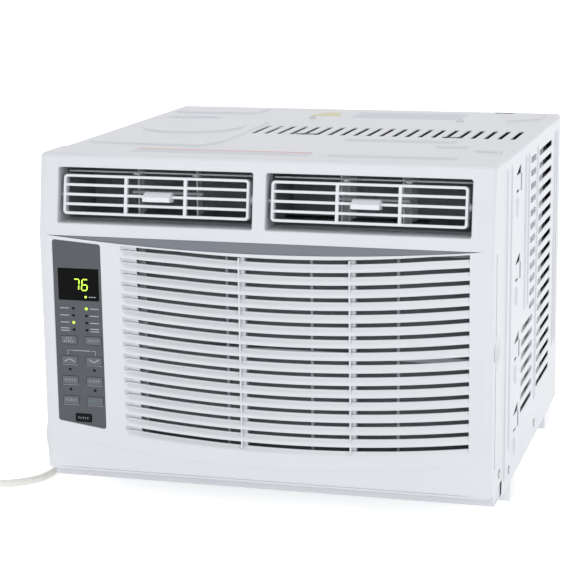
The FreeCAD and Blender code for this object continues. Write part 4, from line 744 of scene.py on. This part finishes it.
# ------------------------------------------------------------------ control panel
KEY_WIDE, KEY_TALL = 17.4, 8.4
KEY_AT = {
    "fan_speed_key": (-204.6, -109.6), "mode_key": (-178, -109.6),
    "warmer_key": (-204.6, -131), "cooler_key": (-178, -131),
    "timer_key": (-204.6, -152.4), "sleep_key": (-178, -152.4),
    "filter_key": (-204.6, -173.8), "eco_key": (-178, -173.8),
    "power_key": (-191.5, -192.4),
}
LAMP_AT = [(x, -76 - 7.5 * i) for i in range(4) for x in (-198.6, -184.4)]
LAMP_AT += [(x, -109.6 - 21.4 * i - 10) for i in (1, 2) for x in (-204.6, -178)]
LIT_LAMPS = {(-198.6, -91.0), (-184.4, -76.0)}
SINK = 0.8


def key_outline(x, z, grow=0.0):
    return oblong((x - KEY_WIDE / 2 - grow, x + KEY_WIDE / 2 + grow),
                  (z - KEY_TALL / 2 - grow, z + KEY_TALL / 2 + grow), 1.1 + max(grow, 0), 3)


def mark(shell, points, wide, depth):
    """A printed line on the panel, a few hundredths proud."""
    for a, b in zip(points, points[1:]):
        one, two = Vector(a), Vector(b)
        along = (two - one).normalized() * (wide / 2)
        across = Vector((-along.y, along.x))
        corners = [one - along - across, two + along - across, two + along + across, one - along + across]
        shell.prism([tuple(c) for c in corners], 0, 0.05, 0.01,
                    lambda x, z, h: on_panel(x, z, depth - h), segments=1)


def make_panel():
    plate = Shell()
    holes = [key_outline(x, z, 0.35) for x, z in KEY_AT.values()]
    holes.append(oblong((-214.2, -169.8), (-67.6, -34.1), 0.6, 2))
    holes += [ring(x, z, 1.5, 12) for x, z in LAMP_AT]
    plate.plate(rounded(PANEL, 2.6), SINK, SINK + 3.4, 0.18, on_panel, holes, back=False)
    plate.piece("panel", FASCIA, "control_fascia")

    glass = Shell(on_panel_xyz)
    glass.block((-214, SINK - 0.1, -67.4), (-170, SINK + 1.6, -34.3), 0.25)
    glass.piece("display_window", LENS, "display_lens")
    for name, (x, z) in KEY_AT.items():
        key = Shell()
        power = name == "power_key"
        proud = SINK - (0.75 if power else 0.5)
        key.plate(key_outline(x, z), proud, SINK + 4.4, 0.45, on_panel, steps=4)
        key.tone = 1
        legend(key, name, x, z, proud)
        key.piece(name + "_cap", [GLOSS if power else KEY, GREENPRINT if name == "eco_key" else PRINT], name)
    lamps = Shell()
    for x, z in LAMP_AT:
        lamps.tone = 1 if (x, round(z, 1)) in LIT_LAMPS else 0
        dome = [(1.45, SINK + 3), (1.45, SINK), (1.25, SINK - 0.25), (0.8, SINK - 0.45), (0.05, SINK - 0.52)]
        lamps.grid([[on_panel(*p, d) for p in ring(x, z, r, 16)] for r, d in dome], closed=True)
    lamps.piece("lamps", [UNLIT, LIT], "indicator_lamps")
    make_print()
    make_digits()


def on_panel_xyz(x, depth, height):
    return on_panel(x, height, depth)


def legend(shell, name, x, z, depth):
    """Chevrons on the two arrow keys, and blank bars on the others."""
    if name in ("warmer_key", "cooler_key"):
        rise = 1.5 if name == "warmer_key" else -1.5
        mark(shell, [(x - 5.4, z - rise), (x, z + rise), (x + 5.4, z - rise)], 0.6, depth)
        return
    for up, length in ((1.6, 7.5), (-1.6, 11.5)) if name == "fan_speed_key" else ((0, 12.5),):
        strokes = max(3, round(length / 2.3))
        for k in range(strokes):
            at = x - length / 2 + length * (k + 0.5) / strokes
            mark(shell, [(at - 0.45, z + up - 1.0), (at - 0.45, z + up + 1.0)], 0.34, depth)
            if k % 2 == 0:
                mark(shell, [(at - 0.35, z + up + 0.85), (at + 0.55, z + up + 0.85)], 0.3, depth)


def make_print():
    """The printed dashes beside the lamps and the bracket over the arrow keys."""
    ink = Shell()
    for i in range(4):
        z = -76 - 7.5 * i
        for left, right in ((-213, -203.5), (-180.5, -171)):
            for up in ((-1.3, 1.3) if i == 3 else (0,)):
                for k in range(4):
                    x = left + (right - left) * (k + 0.5) / 4
                    mark(ink, [(x - 0.7, z + up), (x + 0.7, z + up)], 0.75, SINK)
    low, high = -125.4, -120.6
    mark(ink, [(-206.5, low), (-206.5, high), (-202.5, high)], 0.35, SINK)
    mark(ink, [(-180, high), (-176, high), (-176, low)], 0.35, SINK)
    for k in range(9):
        mark(ink, [(-200.4 + 2.15 * k, high), (-199.4 + 2.15 * k, high)], 0.7, SINK)
    for x, z in list(KEY_AT.values())[2:8]:
        mark(ink, [(x - 8.2, z - 5.0), (x + 8.6, z - 5.0)], 0.28, SINK)
    ink.piece("panel_print", PRINT, body="housing")


SEGMENTS = {"7": "abc", "6": "afgedc"}


def make_digits():
    """A two-digit readout made of seven-segment bars, and the lamp under it."""
    bars = Shell()
    wide, tall, thick = 6.0, 11.4, 1.15
    for digit, centre in (("7", -194.4), ("6", -185.2)):
        for letter in SEGMENTS[digit]:
            level = {"a": tall, "g": tall / 2, "d": 0}.get(letter)
            if level is not None:
                ends = [(0.7, level), (wide - 0.7, level)]
            else:
                x = 0 if letter in "fe" else wide
                low = 0 if letter in "ec" else tall / 2
                ends = [(x, low + 0.7), (x, low + tall / 2 - 0.7)]
            slant = 0.10
            points = [(centre - wide / 2 + a + (u - tall / 2) * slant, -51.0 - tall / 2 + u) for a, u in ends]
            one, two = (Vector(p) for p in points)
            along = (two - one).normalized()
            across = Vector((-along.y, along.x)) * (thick / 2)
            outline = [one - along * 0.35, one + along * 0.25 - across, two - along * 0.25 - across,
                       two + along * 0.35, two - along * 0.25 + across, one + along * 0.25 + across]
            bars.prism([tuple(p) for p in outline], 0, 0.06, 0.012,
                       lambda x, z, h: on_panel(x, z, SINK - 0.1 - h), segments=1)
    bars.grid([[on_panel(*p, SINK - 0.1 - h) for p in ring(-184.4, -63.6, r, 16)]
               for r, h in ((1.25, 0), (1.2, 0.06), (0.02, 0.07))], closed=True)
    bars.piece("readout", LIT, body="housing")
    note = Shell()
    for k in range(3):
        mark(note, [(-180.6 + 2.6 * k, -63.6), (-179.2 + 2.6 * k, -63.6)], 0.7, SINK - 0.1)
    note.piece("readout_print", PRINT, body="housing")


# ------------------------------------------------------------------ louvres
LOUVRE_MIDDLE, LOUVRE_TALL, LOUVRE_GAP = 42.1, 41, 4.4
LOUVRE_NEAR, LOUVRE_FAR = 4, 24
BLADE_PITCH, BLADE_THICK, RIB_AT = 9.8, 3.0, 31.5
RIM_DEEP, RIB_DEEP = 9, 5


def on_upper_xyz(x, depth, height):
    return on_upper(x, height, depth)


def blade(shell, left, right, level, thick, near, far):
    """A level bar, blunt and round in front and thinner behind."""
    half = thick / 2
    section = [(near, -half * 0.55), (near, half * 0.55), (near + 0.5, half * 0.92), (near + 1.6, half),
               (far - 5, half * 0.72), (far - 0.3, half * 0.34), (far, 0), (far - 0.3, -half * 0.34),
               (far - 5, -half * 0.72), (near + 1.6, -half), (near + 0.5, -half * 0.92)]
    shell.grid([[(x, depth, level + up) for depth, up in section] for x in (left, right)], closed=True)


def make_louvre(side, name):
    low, high = OUTLETS[0 if side < 0 else 1]
    left, right = low + LOUVRE_GAP, high - LOUVRE_GAP
    middle = (left + right) / 2
    bottom, top = LOUVRE_MIDDLE - LOUVRE_TALL / 2, LOUVRE_MIDDLE + LOUVRE_TALL / 2
    made = Shell(on_upper_xyz)
    rim = 2.9
    outer = oblong((left, right), (bottom, top), 4.2, 6)
    inner = oblong((left + rim, right - rim), (bottom + rim, top - rim), 1.6, 6)
    soft_edge = 0.9
    made.fill(grown(outer, -soft_edge), [grown(inner, soft_edge)], lambda a, u: (a, LOUVRE_NEAR, u))
    for loop, way in ((outer, -1), (inner, 1)):
        steps = [(way * g, LOUVRE_NEAR + d) for g, d in quarter(soft_edge, 4)] + [(0, LOUVRE_NEAR + RIM_DEEP)]
        made.sweep(loop, steps, lambda a, u, d: (a, d, u))
    made.fill(outer, [inner], lambda a, u: (a, LOUVRE_NEAR + RIM_DEEP, u))
    for i in (-1, 0, 1):
        level = LOUVRE_MIDDLE + i * BLADE_PITCH
        blade(made, left + 1, right - 1, level, BLADE_THICK, LOUVRE_NEAR + 0.5, LOUVRE_FAR)
    for i in (-1, 1):
        x = middle + i * RIB_AT
        made.block((x - 1.7, LOUVRE_NEAR + 0.2, bottom + 1), (x + 1.7, LOUVRE_NEAR + RIB_DEEP, top - 1), 0.7)
    pivot = [(4.2, -0.5), (4.2, 1.2), (3.6, 1.8), (2.0, 1.9), (2.0, 6.4), (1.6, 6.7), (0.05, 6.7)]
    for x, way in ((left, -1), (right, 1)):
        made.turned((x, LOUVRE_NEAR + 10, LOUVRE_MIDDLE), (way, 0, 0), pivot, 24)
    made.piece(f"louvre_{name}", LOUVRE, f"louvre_frame_{name}")

    x = middle + (5 if side < 0 else 0)
    tab = Shell(on_upper_xyz)
    m = LOUVRE_MIDDLE
    grip = [(-2.6, m - 4.6), (-1.8, m - 5.2), (12.6, m - 5.0), (13, m - 4.4), (13, m + 4.4), (11, m + 5.0),
            (6, m + 4.8), (2.5, m + 3.4), (-3.3, m - 0.3), (-3.5, m - 1.0)]
    tab.prism(grip, x - 16, x + 12.5, 0.8, lambda d, u, a: (a, d, u), segments=3)
    tab.piece(f"tab_{name}", LOUVRE, f"louvre_tab_{name}")
    wire = Shell(on_upper_xyz)
    level, deep = OUTLET_UP[1] - BREAK - 2.6, LOUVRE_FAR + 2
    wire.turned((low + 2, deep, level), (1, 0, 0), [(0.9, 0), (0.9, high - low - 4)], 10)
    for i in (-1, 1):
        wire.turned((middle + i * RIB_AT + 4, deep, level - 2.4), (0, 0, 1),
                    [(3.6, 0), (3.6, 1.6), (3.0, 2.6), (1.4, 3.2), (0.05, 3.3)], 20)
    wire.piece(f"vane_rail_{name}", VANE, body="housing")
    for end in ("near", "far"):
        crisp(f"vane_{name}_{end}", VANE, 0.35)
    crisp(f"vane_link_{name}", VANE, 0.3)


# ------------------------------------------------------------------ steel cabinet
WRAP_TOP = WRAP_HIGH.z
BACK = WRAP_HIGH.y
WRAP_ROUND = 5


def slot_outline(low, high, middle, wide, upright=False, steps=5):
    """A slot with round ends; upright turns its length to the second direction."""
    r = wide / 2
    points = arc((high - r, middle), r, -90, 90, steps) + arc((low + r, middle), r, 90, 270, steps)
    return [(b, a) for a, b in reversed(points)] if upright else points


ROW_TOP, ROW_PITCH, ROWS, SHORT_ROWS = 347.5, 14.58, 19, 12
REAR_SLOTS, SHORT_SLOTS, LONG_SLOTS, SIDE_SLOT_TALL = (65, 165), (6, 43), (-48, 30), 6.4
TOP_SLOTS, TOP_SLOT_LEFT, TOP_SLOT_PITCH, TOP_SLOT_COUNT, TOP_SLOT_WIDE = (-15, 57), -70, 14.35, 21, 5
HOOK_FRONT = -98
HOOK_LEVELS = (354, 261, 177, 100)
RAIL_HOLES, RAIL_HOLE_Y = (-42, 133), 137
GLAND = Vector((-HALF, 60, 56))


def side_holes(with_gland):
    """The vent slots and hook holes of one side, and the left side's hole for the lead."""
    holes = []
    for row in range(ROWS):
        z = ROW_TOP - ROW_PITCH * row
        holes.append(slot_outline(*REAR_SLOTS, z, SIDE_SLOT_TALL))
        holes.append(slot_outline(*(SHORT_SLOTS if row < SHORT_ROWS else LONG_SLOTS), z, SIDE_SLOT_TALL))
    for z in HOOK_LEVELS:
        y = HOOK_FRONT
        holes.append(rounded([(y, z - 9), (y + 33, z - 9), (y + 33, z - 1), (y + 29, z)], 0.7, 3))
        holes.append(oblong((y + 31, y + 39), (z - 28, z - 10.3), 1.2, 3))
        holes.append(oblong((y + 4, y + 20), (z - 27, z - 24.4), 1.0, 3))
    if with_gland:
        holes.append(ring(GLAND.y, GLAND.z, 7.5, 24))
    return holes


def make_cabinet():
    made = Shell()
    start = WRAP_LOW.y
    edge = 1.2
    for side in (-1, 1):
        made.grid([[(side * (HALF - inset), y, WRAP_TOP - fall) for fall, inset in quarter(WRAP_ROUND, 8)]
                   for y in (start, BACK - edge)])
        holes = side_holes(side < 0)
        foot = [(y, WRAP_LOW.z + up) for y, up in ((start, 1), (-160, 0), (150, 3), (BACK - edge, 5))]
        outline = foot + [(BACK - edge, WRAP_TOP - WRAP_ROUND), (start, WRAP_TOP - WRAP_ROUND)]
        lip = 0.5
        made.fill(outline, [grown(h, lip) for h in holes], lambda y, z: (side * HALF, y, z))
        for hole in holes:
            made.sweep(hole, [(lip, 0), (lip * 0.3, 0.15), (0, 0.5), (0, 1.1)],
                       lambda y, z, depth: (side * (HALF - depth), y, z))
        made.grid([[(side * HALF, *p) for p in foot], [(side * (HALF - 0.3), p[0], p[1] - 0.3) for p in foot],
                   [(side * (HALF - 1.2), p[0], p[1] - 0.3) for p in foot]])

        def on_side(y, z, high):
            return (side * (HALF + high), y, z)
        for y, low, high in ((-152, 36, 362), (-125, 62, 362), (-31, 190, 360), (-9, 190, 360), (53, 70, 360),
                             (191, 100, 358), (209, 100, 358)):
            levels = (low, low + 6, (low + high) / 2, high - 6, high)
            made.bead([(y, z) for z in levels], 5.0, 1.3, on_side)
        for z in HOOK_LEVELS:
            made.bead([(-86, z - 54), (-86, z - 50), (-86, z - 36), (-86, z - 32)], 12, 1.8, on_side)
    holes = [slot_outline(*TOP_SLOTS, TOP_SLOT_LEFT + TOP_SLOT_PITCH * i, TOP_SLOT_WIDE, upright=True)
             for i in range(TOP_SLOT_COUNT)]
    holes += [ring(x, RAIL_HOLE_Y, 2.2, 16) for x in RAIL_HOLES]
    across = HALF - WRAP_ROUND
    rear = BACK - edge
    outline = [(-across, start), (across, start), (across, rear), (182, rear), (178, rear - 9),
               (160, rear - 9), (156, rear), (-across, rear)]
    lip = 0.6
    made.fill(outline, [grown(h, lip) for h in holes], lambda x, y: (x, y, WRAP_TOP))
    for hole in holes:
        made.sweep(hole, [(lip, 0), (lip * 0.3, 0.2), (0, 0.6), (0, 1.4)],
                   lambda x, y, depth: (x, y, WRAP_TOP - depth))
    rear_frame(made, edge)
    emboss_top(made)
    return made.piece("cabinet", COAT, "cabinet_wrap")


def rear_frame(made, edge):
    """The rounded edge round the back and the rim folded in behind it."""
    def loop(inset, y):
        side, top = HALF - inset, WRAP_TOP - inset
        radius = max(WRAP_ROUND - inset, 0.6)
        right = arc((side - radius, top - radius), radius, 0, 90, 8)
        low = WRAP_LOW.z + 5
        points = [(side, low)] + right + [(-x, z) for x, z in reversed(right)] + [(-side, low)]
        return [(x, y, z) for x, z in points]
    bend = [loop(inset, BACK - short) for short, inset in quarter(edge, 3)]
    made.grid(bend + [loop(13, BACK), loop(13.6, BACK - 0.5), loop(13.6, BACK - 6)])


def plateau(made, outline, high, slope, lift):
    """A raised flat area with a soft shoulder all round."""
    steps = [(0, -0.05)]
    steps += [(-slope * run, high * up) for run, up in ((0.2, 0.08), (0.4, 0.35), (0.6, 0.65), (0.8, 0.92))]
    steps.append((-slope, high))
    made.sweep(outline, steps, lift)
    made.fill(grown(outline, -slope), [], lambda a, b: lift(a, b, high))


def emboss_top(made):
    def on_top(x, y, high):
        return (x, y, WRAP_TOP + high)
    field = rounded([(-222, -127), (-158, -130), (-92, -134), (-76, -96), (-78, 92), (-222, 86)], 10, 6)
    plateau(made, field, 1.5, 2, on_top)
    plateau(made, ring(-150, 21, 60, 48), 2.9, 2.4, on_top)
    plateau(made, rounded([(-222, 162), (-118, 164), (-112, 216), (-222, 216)], 8, 5), 1.5, 2, on_top)
    plateau(made, rounded([(184, 132), (222, 174), (224, 216), (184, 216)], 6, 5), 1.5, 2, on_top)
    plateau(made, rounded([(150, -98), (186, -90), (178, -72), (150, -72)], 5, 5), 1.5, 2, on_top)
    made.bead([(-215, 113), (-206, 115), (-160, 122), (-147, 124)], 5, 1.6, on_top)
    made.bead([(193, -114), (200, -117), (214, -119), (222, -124), (220, -140)], 6, 1.8, on_top)


def make_catches():
    """Black blocks at the front ends of some top slots, painted shade standing in for the shadow inside them,
    and the screws of the rear bracket.
    """
    made = Shell()
    # Painted shade: black blocks where the top slots show only shadow inside.
    for left, right in ((-22, 3), (141, 163)):
        made.block((left, -12, WRAP_TOP - 1.5), (right, -8.5, WRAP_TOP + 0.5), 0.4)
    made.piece("catches", DARK, body="housing")
    made = Shell()
    head = [(4.4, -0.2), (4.4, 0.5), (3.6, 1.4), (2.4, 2.0), (2.3, 1.0), (0.05, 0.9)]
    for x in RAIL_HOLES:
        made.turned((x, RAIL_HOLE_Y, WRAP_TOP), (0, 0, 1), head, 24)
    made.piece("bracket_screws", ZINC, body="housing")


def make_labels():
    """Blank labels on the cabinet's top."""
    def sheet(name, outline, finish, border=None, level=WRAP_TOP):
        made = Shell()
        made.plate(outline, 0, 0.12, 0.04, lambda x, y, d: (x, y, level + 0.12 - d), steps=1, back=False)
        if border:
            made.tone = 1
            (a, b), y, wide = border
            made.plate(oblong((a, b), (y - wide / 2, y + wide / 2), 0.2, 2), 0, 0.1, 0.03,
                       lambda x, u, d: (x, u, level + 0.2 - d), steps=1)
        made.piece(name, [finish, ORANGE], body="housing")
    sheet("front_label", oblong((-146, 41), (-196, -169.5), 1.5, 3), LABEL, ((-145, 40), -171, 2.2), TOP)
    sheet("side_label", oblong((60, 190), (-196, -176), 1.5, 3), LABEL, level=TOP)
    sheet("middle_label", oblong((44, 164), (-62, -40), 1.5, 3), LABEL)
    sheet("rear_label", oblong((0, 130), (150, 205), 2, 3), LABEL)
    sheet("small_label", rounded([(-52, 160), (-14, 160), (-22, 196), (-40, 196)], 3, 4), YELLOW)


def make_side_plates():
    """Sheets inside the cabinet's walls, seen through its slots: enamelled ones between two dark ones, which
    are painted shade standing in for the dim inside of the cabinet.
    """
    # The dark sheets are painted shade: black plates put behind the front and rear slots, where only shadow
    # shows.
    for name, finish, slot, runs in (("side_plates", PANCOAT, "pan_paint", ((-8, 172),)),
                                     ("dark_plates", DARK, "shroud_plastic", ((172, 226), (-100, -8.5)))):
        made = Shell()
        for side in (-1, 1):
            inside = side * (HALF - 8.5)
            for near, far in runs:
                made.block((inside - 0.5, near, 60), (inside + 0.5, far, 362), 0.3, 1)
        made.piece(name, finish, body="housing")


# ------------------------------------------------------------------ base, screws
def make_base():
    crisp("base_pan", PANCOAT, 0.6)
    for node, place in (("cabinet_screws", ((-120, 41), (57, 43))), ("bezel_screws", ((FRONT + 53, 55),))):
        made = Shell()
        for side in (-1, 1):
            for y, z in place:
                cross_screw(made, side, y, z)
        made.piece(node + "_heads", [ZINC, DARK], node)


def cross_screw(made, side, y, z):
    """A pan-head screw on the side, with a cross cut in its head."""
    made.tone = 1
    made.turned((side * HALF, y, z), (side, 0, 0), [(5.0, -0.1), (4.9, 0.12), (3.0, 0.14)], 28)
    made.tone = 0
    made.turned((side * HALF, y, z), (side, 0, 0),
                [(3.6, 0.1), (3.6, 0.35), (3.4, 0.6), (2.9, 1.1), (2.2, 1.45), (1.0, 1.6), (0.02, 1.62)], 28)
    for wide, tall in ((3.2, 0.6), (0.6, 3.2)):
        made.block((side * HALF + side * 1.58 - 0.12, y - wide / 2, z - tall / 2),
                   (side * HALF + side * 1.58 + 0.12, y + wide / 2, z + tall / 2), 0.05, 1)


# ------------------------------------------------------------------ coils
def make_coil(node, name, pitch, tubes):
    """Thin fins on rows of copper tube, with end plates and return bends."""
    low, high = span(node)
    x0, x1 = low.x, high.x - 12.6
    y0, y1, z0, z1 = low.y + 2, high.y - 2, low.z + 2, high.z - 2
    fins = Shell()
    count = int((x1 - x0 - 5) / pitch)
    for k in range(count):
        x = x0 + 3 + pitch * k
        sheet = ((x, y0), (x + 0.16, y0 + 0.02), (x + 0.16, y1 - 0.02), (x, y1))
        fins.grid([[(*p, z) for p in sheet] for z in (z0, z1)], closed=True)
    fins.piece(name + "_fins", FINS, node)
    plates = Shell()
    for x in (x0, x1 - 1.5):
        plates.block((x, low.y, low.z), (x + 1.5, high.y, high.z), 0.4, 1)
    plates.piece(name + "_plates", ZINC, body="housing")
    pipes = Shell()
    middle, reach = (y0 + y1) / 2, (y1 - y0) * 0.23
    for i in range(tubes):
        z = z0 + (z1 - z0) * (i + 0.5) / tubes
        for y in (middle - reach, middle + reach):
            pipes.turned((x0 + 0.2, y, z), (1, 0, 0), [(3.4, 0), (3.4, x1 - x0 - 0.4)], 12)
        bend = [[(x1 + far * math.sin(a) * 0.85, middle - far * math.cos(a), z + up)
                 for far, up in ring(reach, 0, 3.3, 10)] for a in (math.pi * k / 12 for k in range(13))]
        pipes.grid(bend, closed=True)
    pipes.piece(name + "_tubes", COPPER, body="housing")


# ------------------------------------------------------------------ lead
CORD_RADIUS = 4.0
ROUTE = [
    (-265, 60, 56), (-303, 59.5, 53), (-330, 37, 36), (-331, 4, 17.5), (-318, -27, 7.5),
    (-299, -62, 4.9), (-278, -96, 4.8), (-268, -131, 4.8), (-276, -166, 4.8), (-306, -188, 4.8),
    (-341, -192, 4.8), (-378, -192, 4.8),
]
COIL_MIDDLE = (-400, -142)
TURNS = ((50, 4.8), (42, 4.8), (34, 4.8), (38, 12.8), (46, 12.8))
TAIL = [(-446, -113, 12.8), (-445.5, -92, 15), (-445, -71, 20.5)]


def coil_points():
    """The turns, 16 points to each, sliding from one turn to the next over its last quarter."""
    points, steps = [], 16
    total = int(steps * (len(TURNS) + 0.25))
    for k in range(1, total):
        turn, share = divmod(k / steps, 1)
        turn = int(turn)
        here = TURNS[min(turn, len(TURNS) - 1)]
        there = TURNS[min(turn + 1, len(TURNS) - 1)]
        slide = ease((share - 0.7) / 0.3)
        radius = here[0] + (there[0] - here[0]) * slide
        level = here[1] + (there[1] - here[1]) * slide
        angle = -math.pi / 2 - 2 * math.pi * k / steps
        x, y = COIL_MIDDLE[0] + radius * math.cos(angle), COIL_MIDDLE[1] + radius * math.sin(angle)
        points.append((x, y, level))
    return points


def make_lead():
    line = bpy.data.curves.new("lead", "CURVE")
    line.dimensions = "3D"
    line.bevel_depth = CORD_RADIUS * MM
    line.bevel_resolution = 5
    line.use_fill_caps = True
    points = ROUTE + coil_points() + TAIL
    spline = line.splines.new("NURBS")
    spline.points.add(len(points) - 1)
    for point, place in zip(spline.points, points):
        point.co = (*(Vector(place) * MM), 1)
    spline.order_u = 3
    spline.use_endpoint_u = True
    spline.resolution_u = 8
    lead = bpy.data.objects.new("lead", line)
    lead.data.materials.append(VINYL)
    bpy.context.scene.collection.objects.link(lead)
    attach(lead, "housing")
    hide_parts("power_cord", "cord_coil")

    gland = Shell()
    ribs = [(10, -4), (10, -2.6), (9.4, -2.2), (7.2, -2.1), (7.2, 0.6)]
    for k in range(7):
        at, wide = 1.0 + 3.9 * k, 7.3 - 0.36 * k
        ribs += [(wide, at), (wide, at + 2.0), (wide - 0.9, at + 2.4), (wide - 0.9, at + 3.5)]
    ribs += [(4.9, 28.6), (4.7, 29.6), (4.02, 30)]
    gland.turned(GLAND, (-1, 0, 0), ribs, 32)
    boot = gland.piece("gland_boot", RUBBER, "strain_relief")
    plug = make_plug()
    plug + [boot]


def make_plug():
    low, high = span("plug_housing")
    x, z = (low.x + high.x) / 2, (low.z + high.z) / 2
    shell = Shell()
    shell.block((low.x, low.y + 7, low.z), (high.x, high.y, high.z), 5, 4)
    shell.block((low.x + 3, low.y + 11, high.z - 2.2), (high.x - 4, high.y - 6, high.z), 1.0, 2)
    ribs = [(6.6, -2), (6.5, 2), (5.6, 4), (5.9, 5.4), (5.0, 7), (5.3, 8.4), (4.6, 10), (4.02, 10.1)]
    shell.turned((x, low.y + 10, z), (0, -1, 0), ribs, 28)
    housing = shell.piece("plug_body", PLUG, "plug_housing")
    pins = crisp("plug_blades", BRASS, 0.25)
    keys = [crisp("plug_test_key", REDKEY, 0.6, 3), crisp("plug_reset_key", DARK, 0.6, 3)]
    return [housing, pins, *keys]


# ------------------------------------------------------------------ what lies inside
def make_inside():
    for finish, width, nodes in (
            (FOAM, 0.8, ("air_outlet_duct", "blower_housing")), (PANCOAT, 0.4, ("bulkhead", "drain_plug")),
            (ZINC, 0.4, ("control_box", "fan_motor", "motor_bracket", "run_capacitor", "fan_shaft")),
            (DARK, 0.5, ("fan_shroud", "condenser_fan", "blower_wheel")),
            (BLACKCOAT, 0.6, ("compressor", "accumulator")),
            (COPPER, 0.2, ("discharge_tube", "suction_tube", "capillary_tube")),
            (RUBBER, 0.4, ("compressor_grommets",)), (ZINC, 0.3, ("compressor_studs",)),
            (BOARD, 0.2, ("control_board", "display_module")), (GRID, 0.4, ("filter_frame",))):
        for node in nodes:
            crisp(node, finish, width)
    net = frame["nodes"]["filter_mesh"]
    net.data.materials.clear()
    net.data.materials.append(NET)


# ------------------------------------------------------------------ stage
def make_stage():
    floor = Shell()
    far = 6000
    floor.grid([[(x, y, -0.05) for x in (-far, far)] for y in (-far, far)])
    mesh = bpy.data.meshes.new("floor")
    mesh.from_pydata([Vector(p) * MM for p in floor.points], [], floor.faces)
    pale = Finish("floor_paint", Roughness=0.9, Base_Color=(0.90, 0.90, 0.905), Emission_Strength=0.4,
                  Emission_Color=(1.0, 1.0, 1.0))
    mesh.materials.append(pale.material)
    made = bpy.data.objects.new("floor", mesh)
    bpy.context.scene.collection.objects.link(made)

    def soft_box(name, place, aim, size, power, colour=(1, 1, 1)):
        light = bpy.data.lights.new(name, "AREA")
        light.shape = "RECTANGLE"
        light.size, light.size_y = size
        light.energy, light.color = power, colour
        lamp = bpy.data.objects.new(name, light)
        lamp.location = place
        lamp.rotation_euler = (Vector(aim) - Vector(place)).to_track_quat("-Z", "Y").to_euler()
        bpy.context.scene.collection.objects.link(lamp)
    soft_box("overhead", (0.3, 0.3, 2.4), (0, 0, 0.2), (2.0, 1.8), 1.0)
    soft_box("front", (-0.4, -2.8, 1.5), (0, 0, 0.2), (1.4, 1.4), 12)
    soft_box("right", (2.2, -1.5, 1.1), (0, 0, 0.2), (1.0, 1.4), 7.5)
    world = bpy.data.worlds.new("studio")
    bpy.context.scene.world = world
    world.use_nodes = True
    world.node_tree.nodes["Background"].inputs["Color"].default_value = (1, 1, 1, 1)
    world.node_tree.nodes["Background"].inputs["Strength"].default_value = 1.0
    bpy.context.scene.view_settings.view_transform = "Standard"


set_camera()
make_lead()
make_bezel()
make_strip()
make_panel()
for side, name in ((-1, "left"), (1, "right")):
    make_louvre(side, name)
make_cabinet()
make_labels()
make_catches()
make_side_plates()
make_base()
make_coil("condenser_coil", "rear_coil", 1.9, 12)
make_coil("evaporator_coil", "front_coil", 1.9, 9)
make_inside()
make_stage()
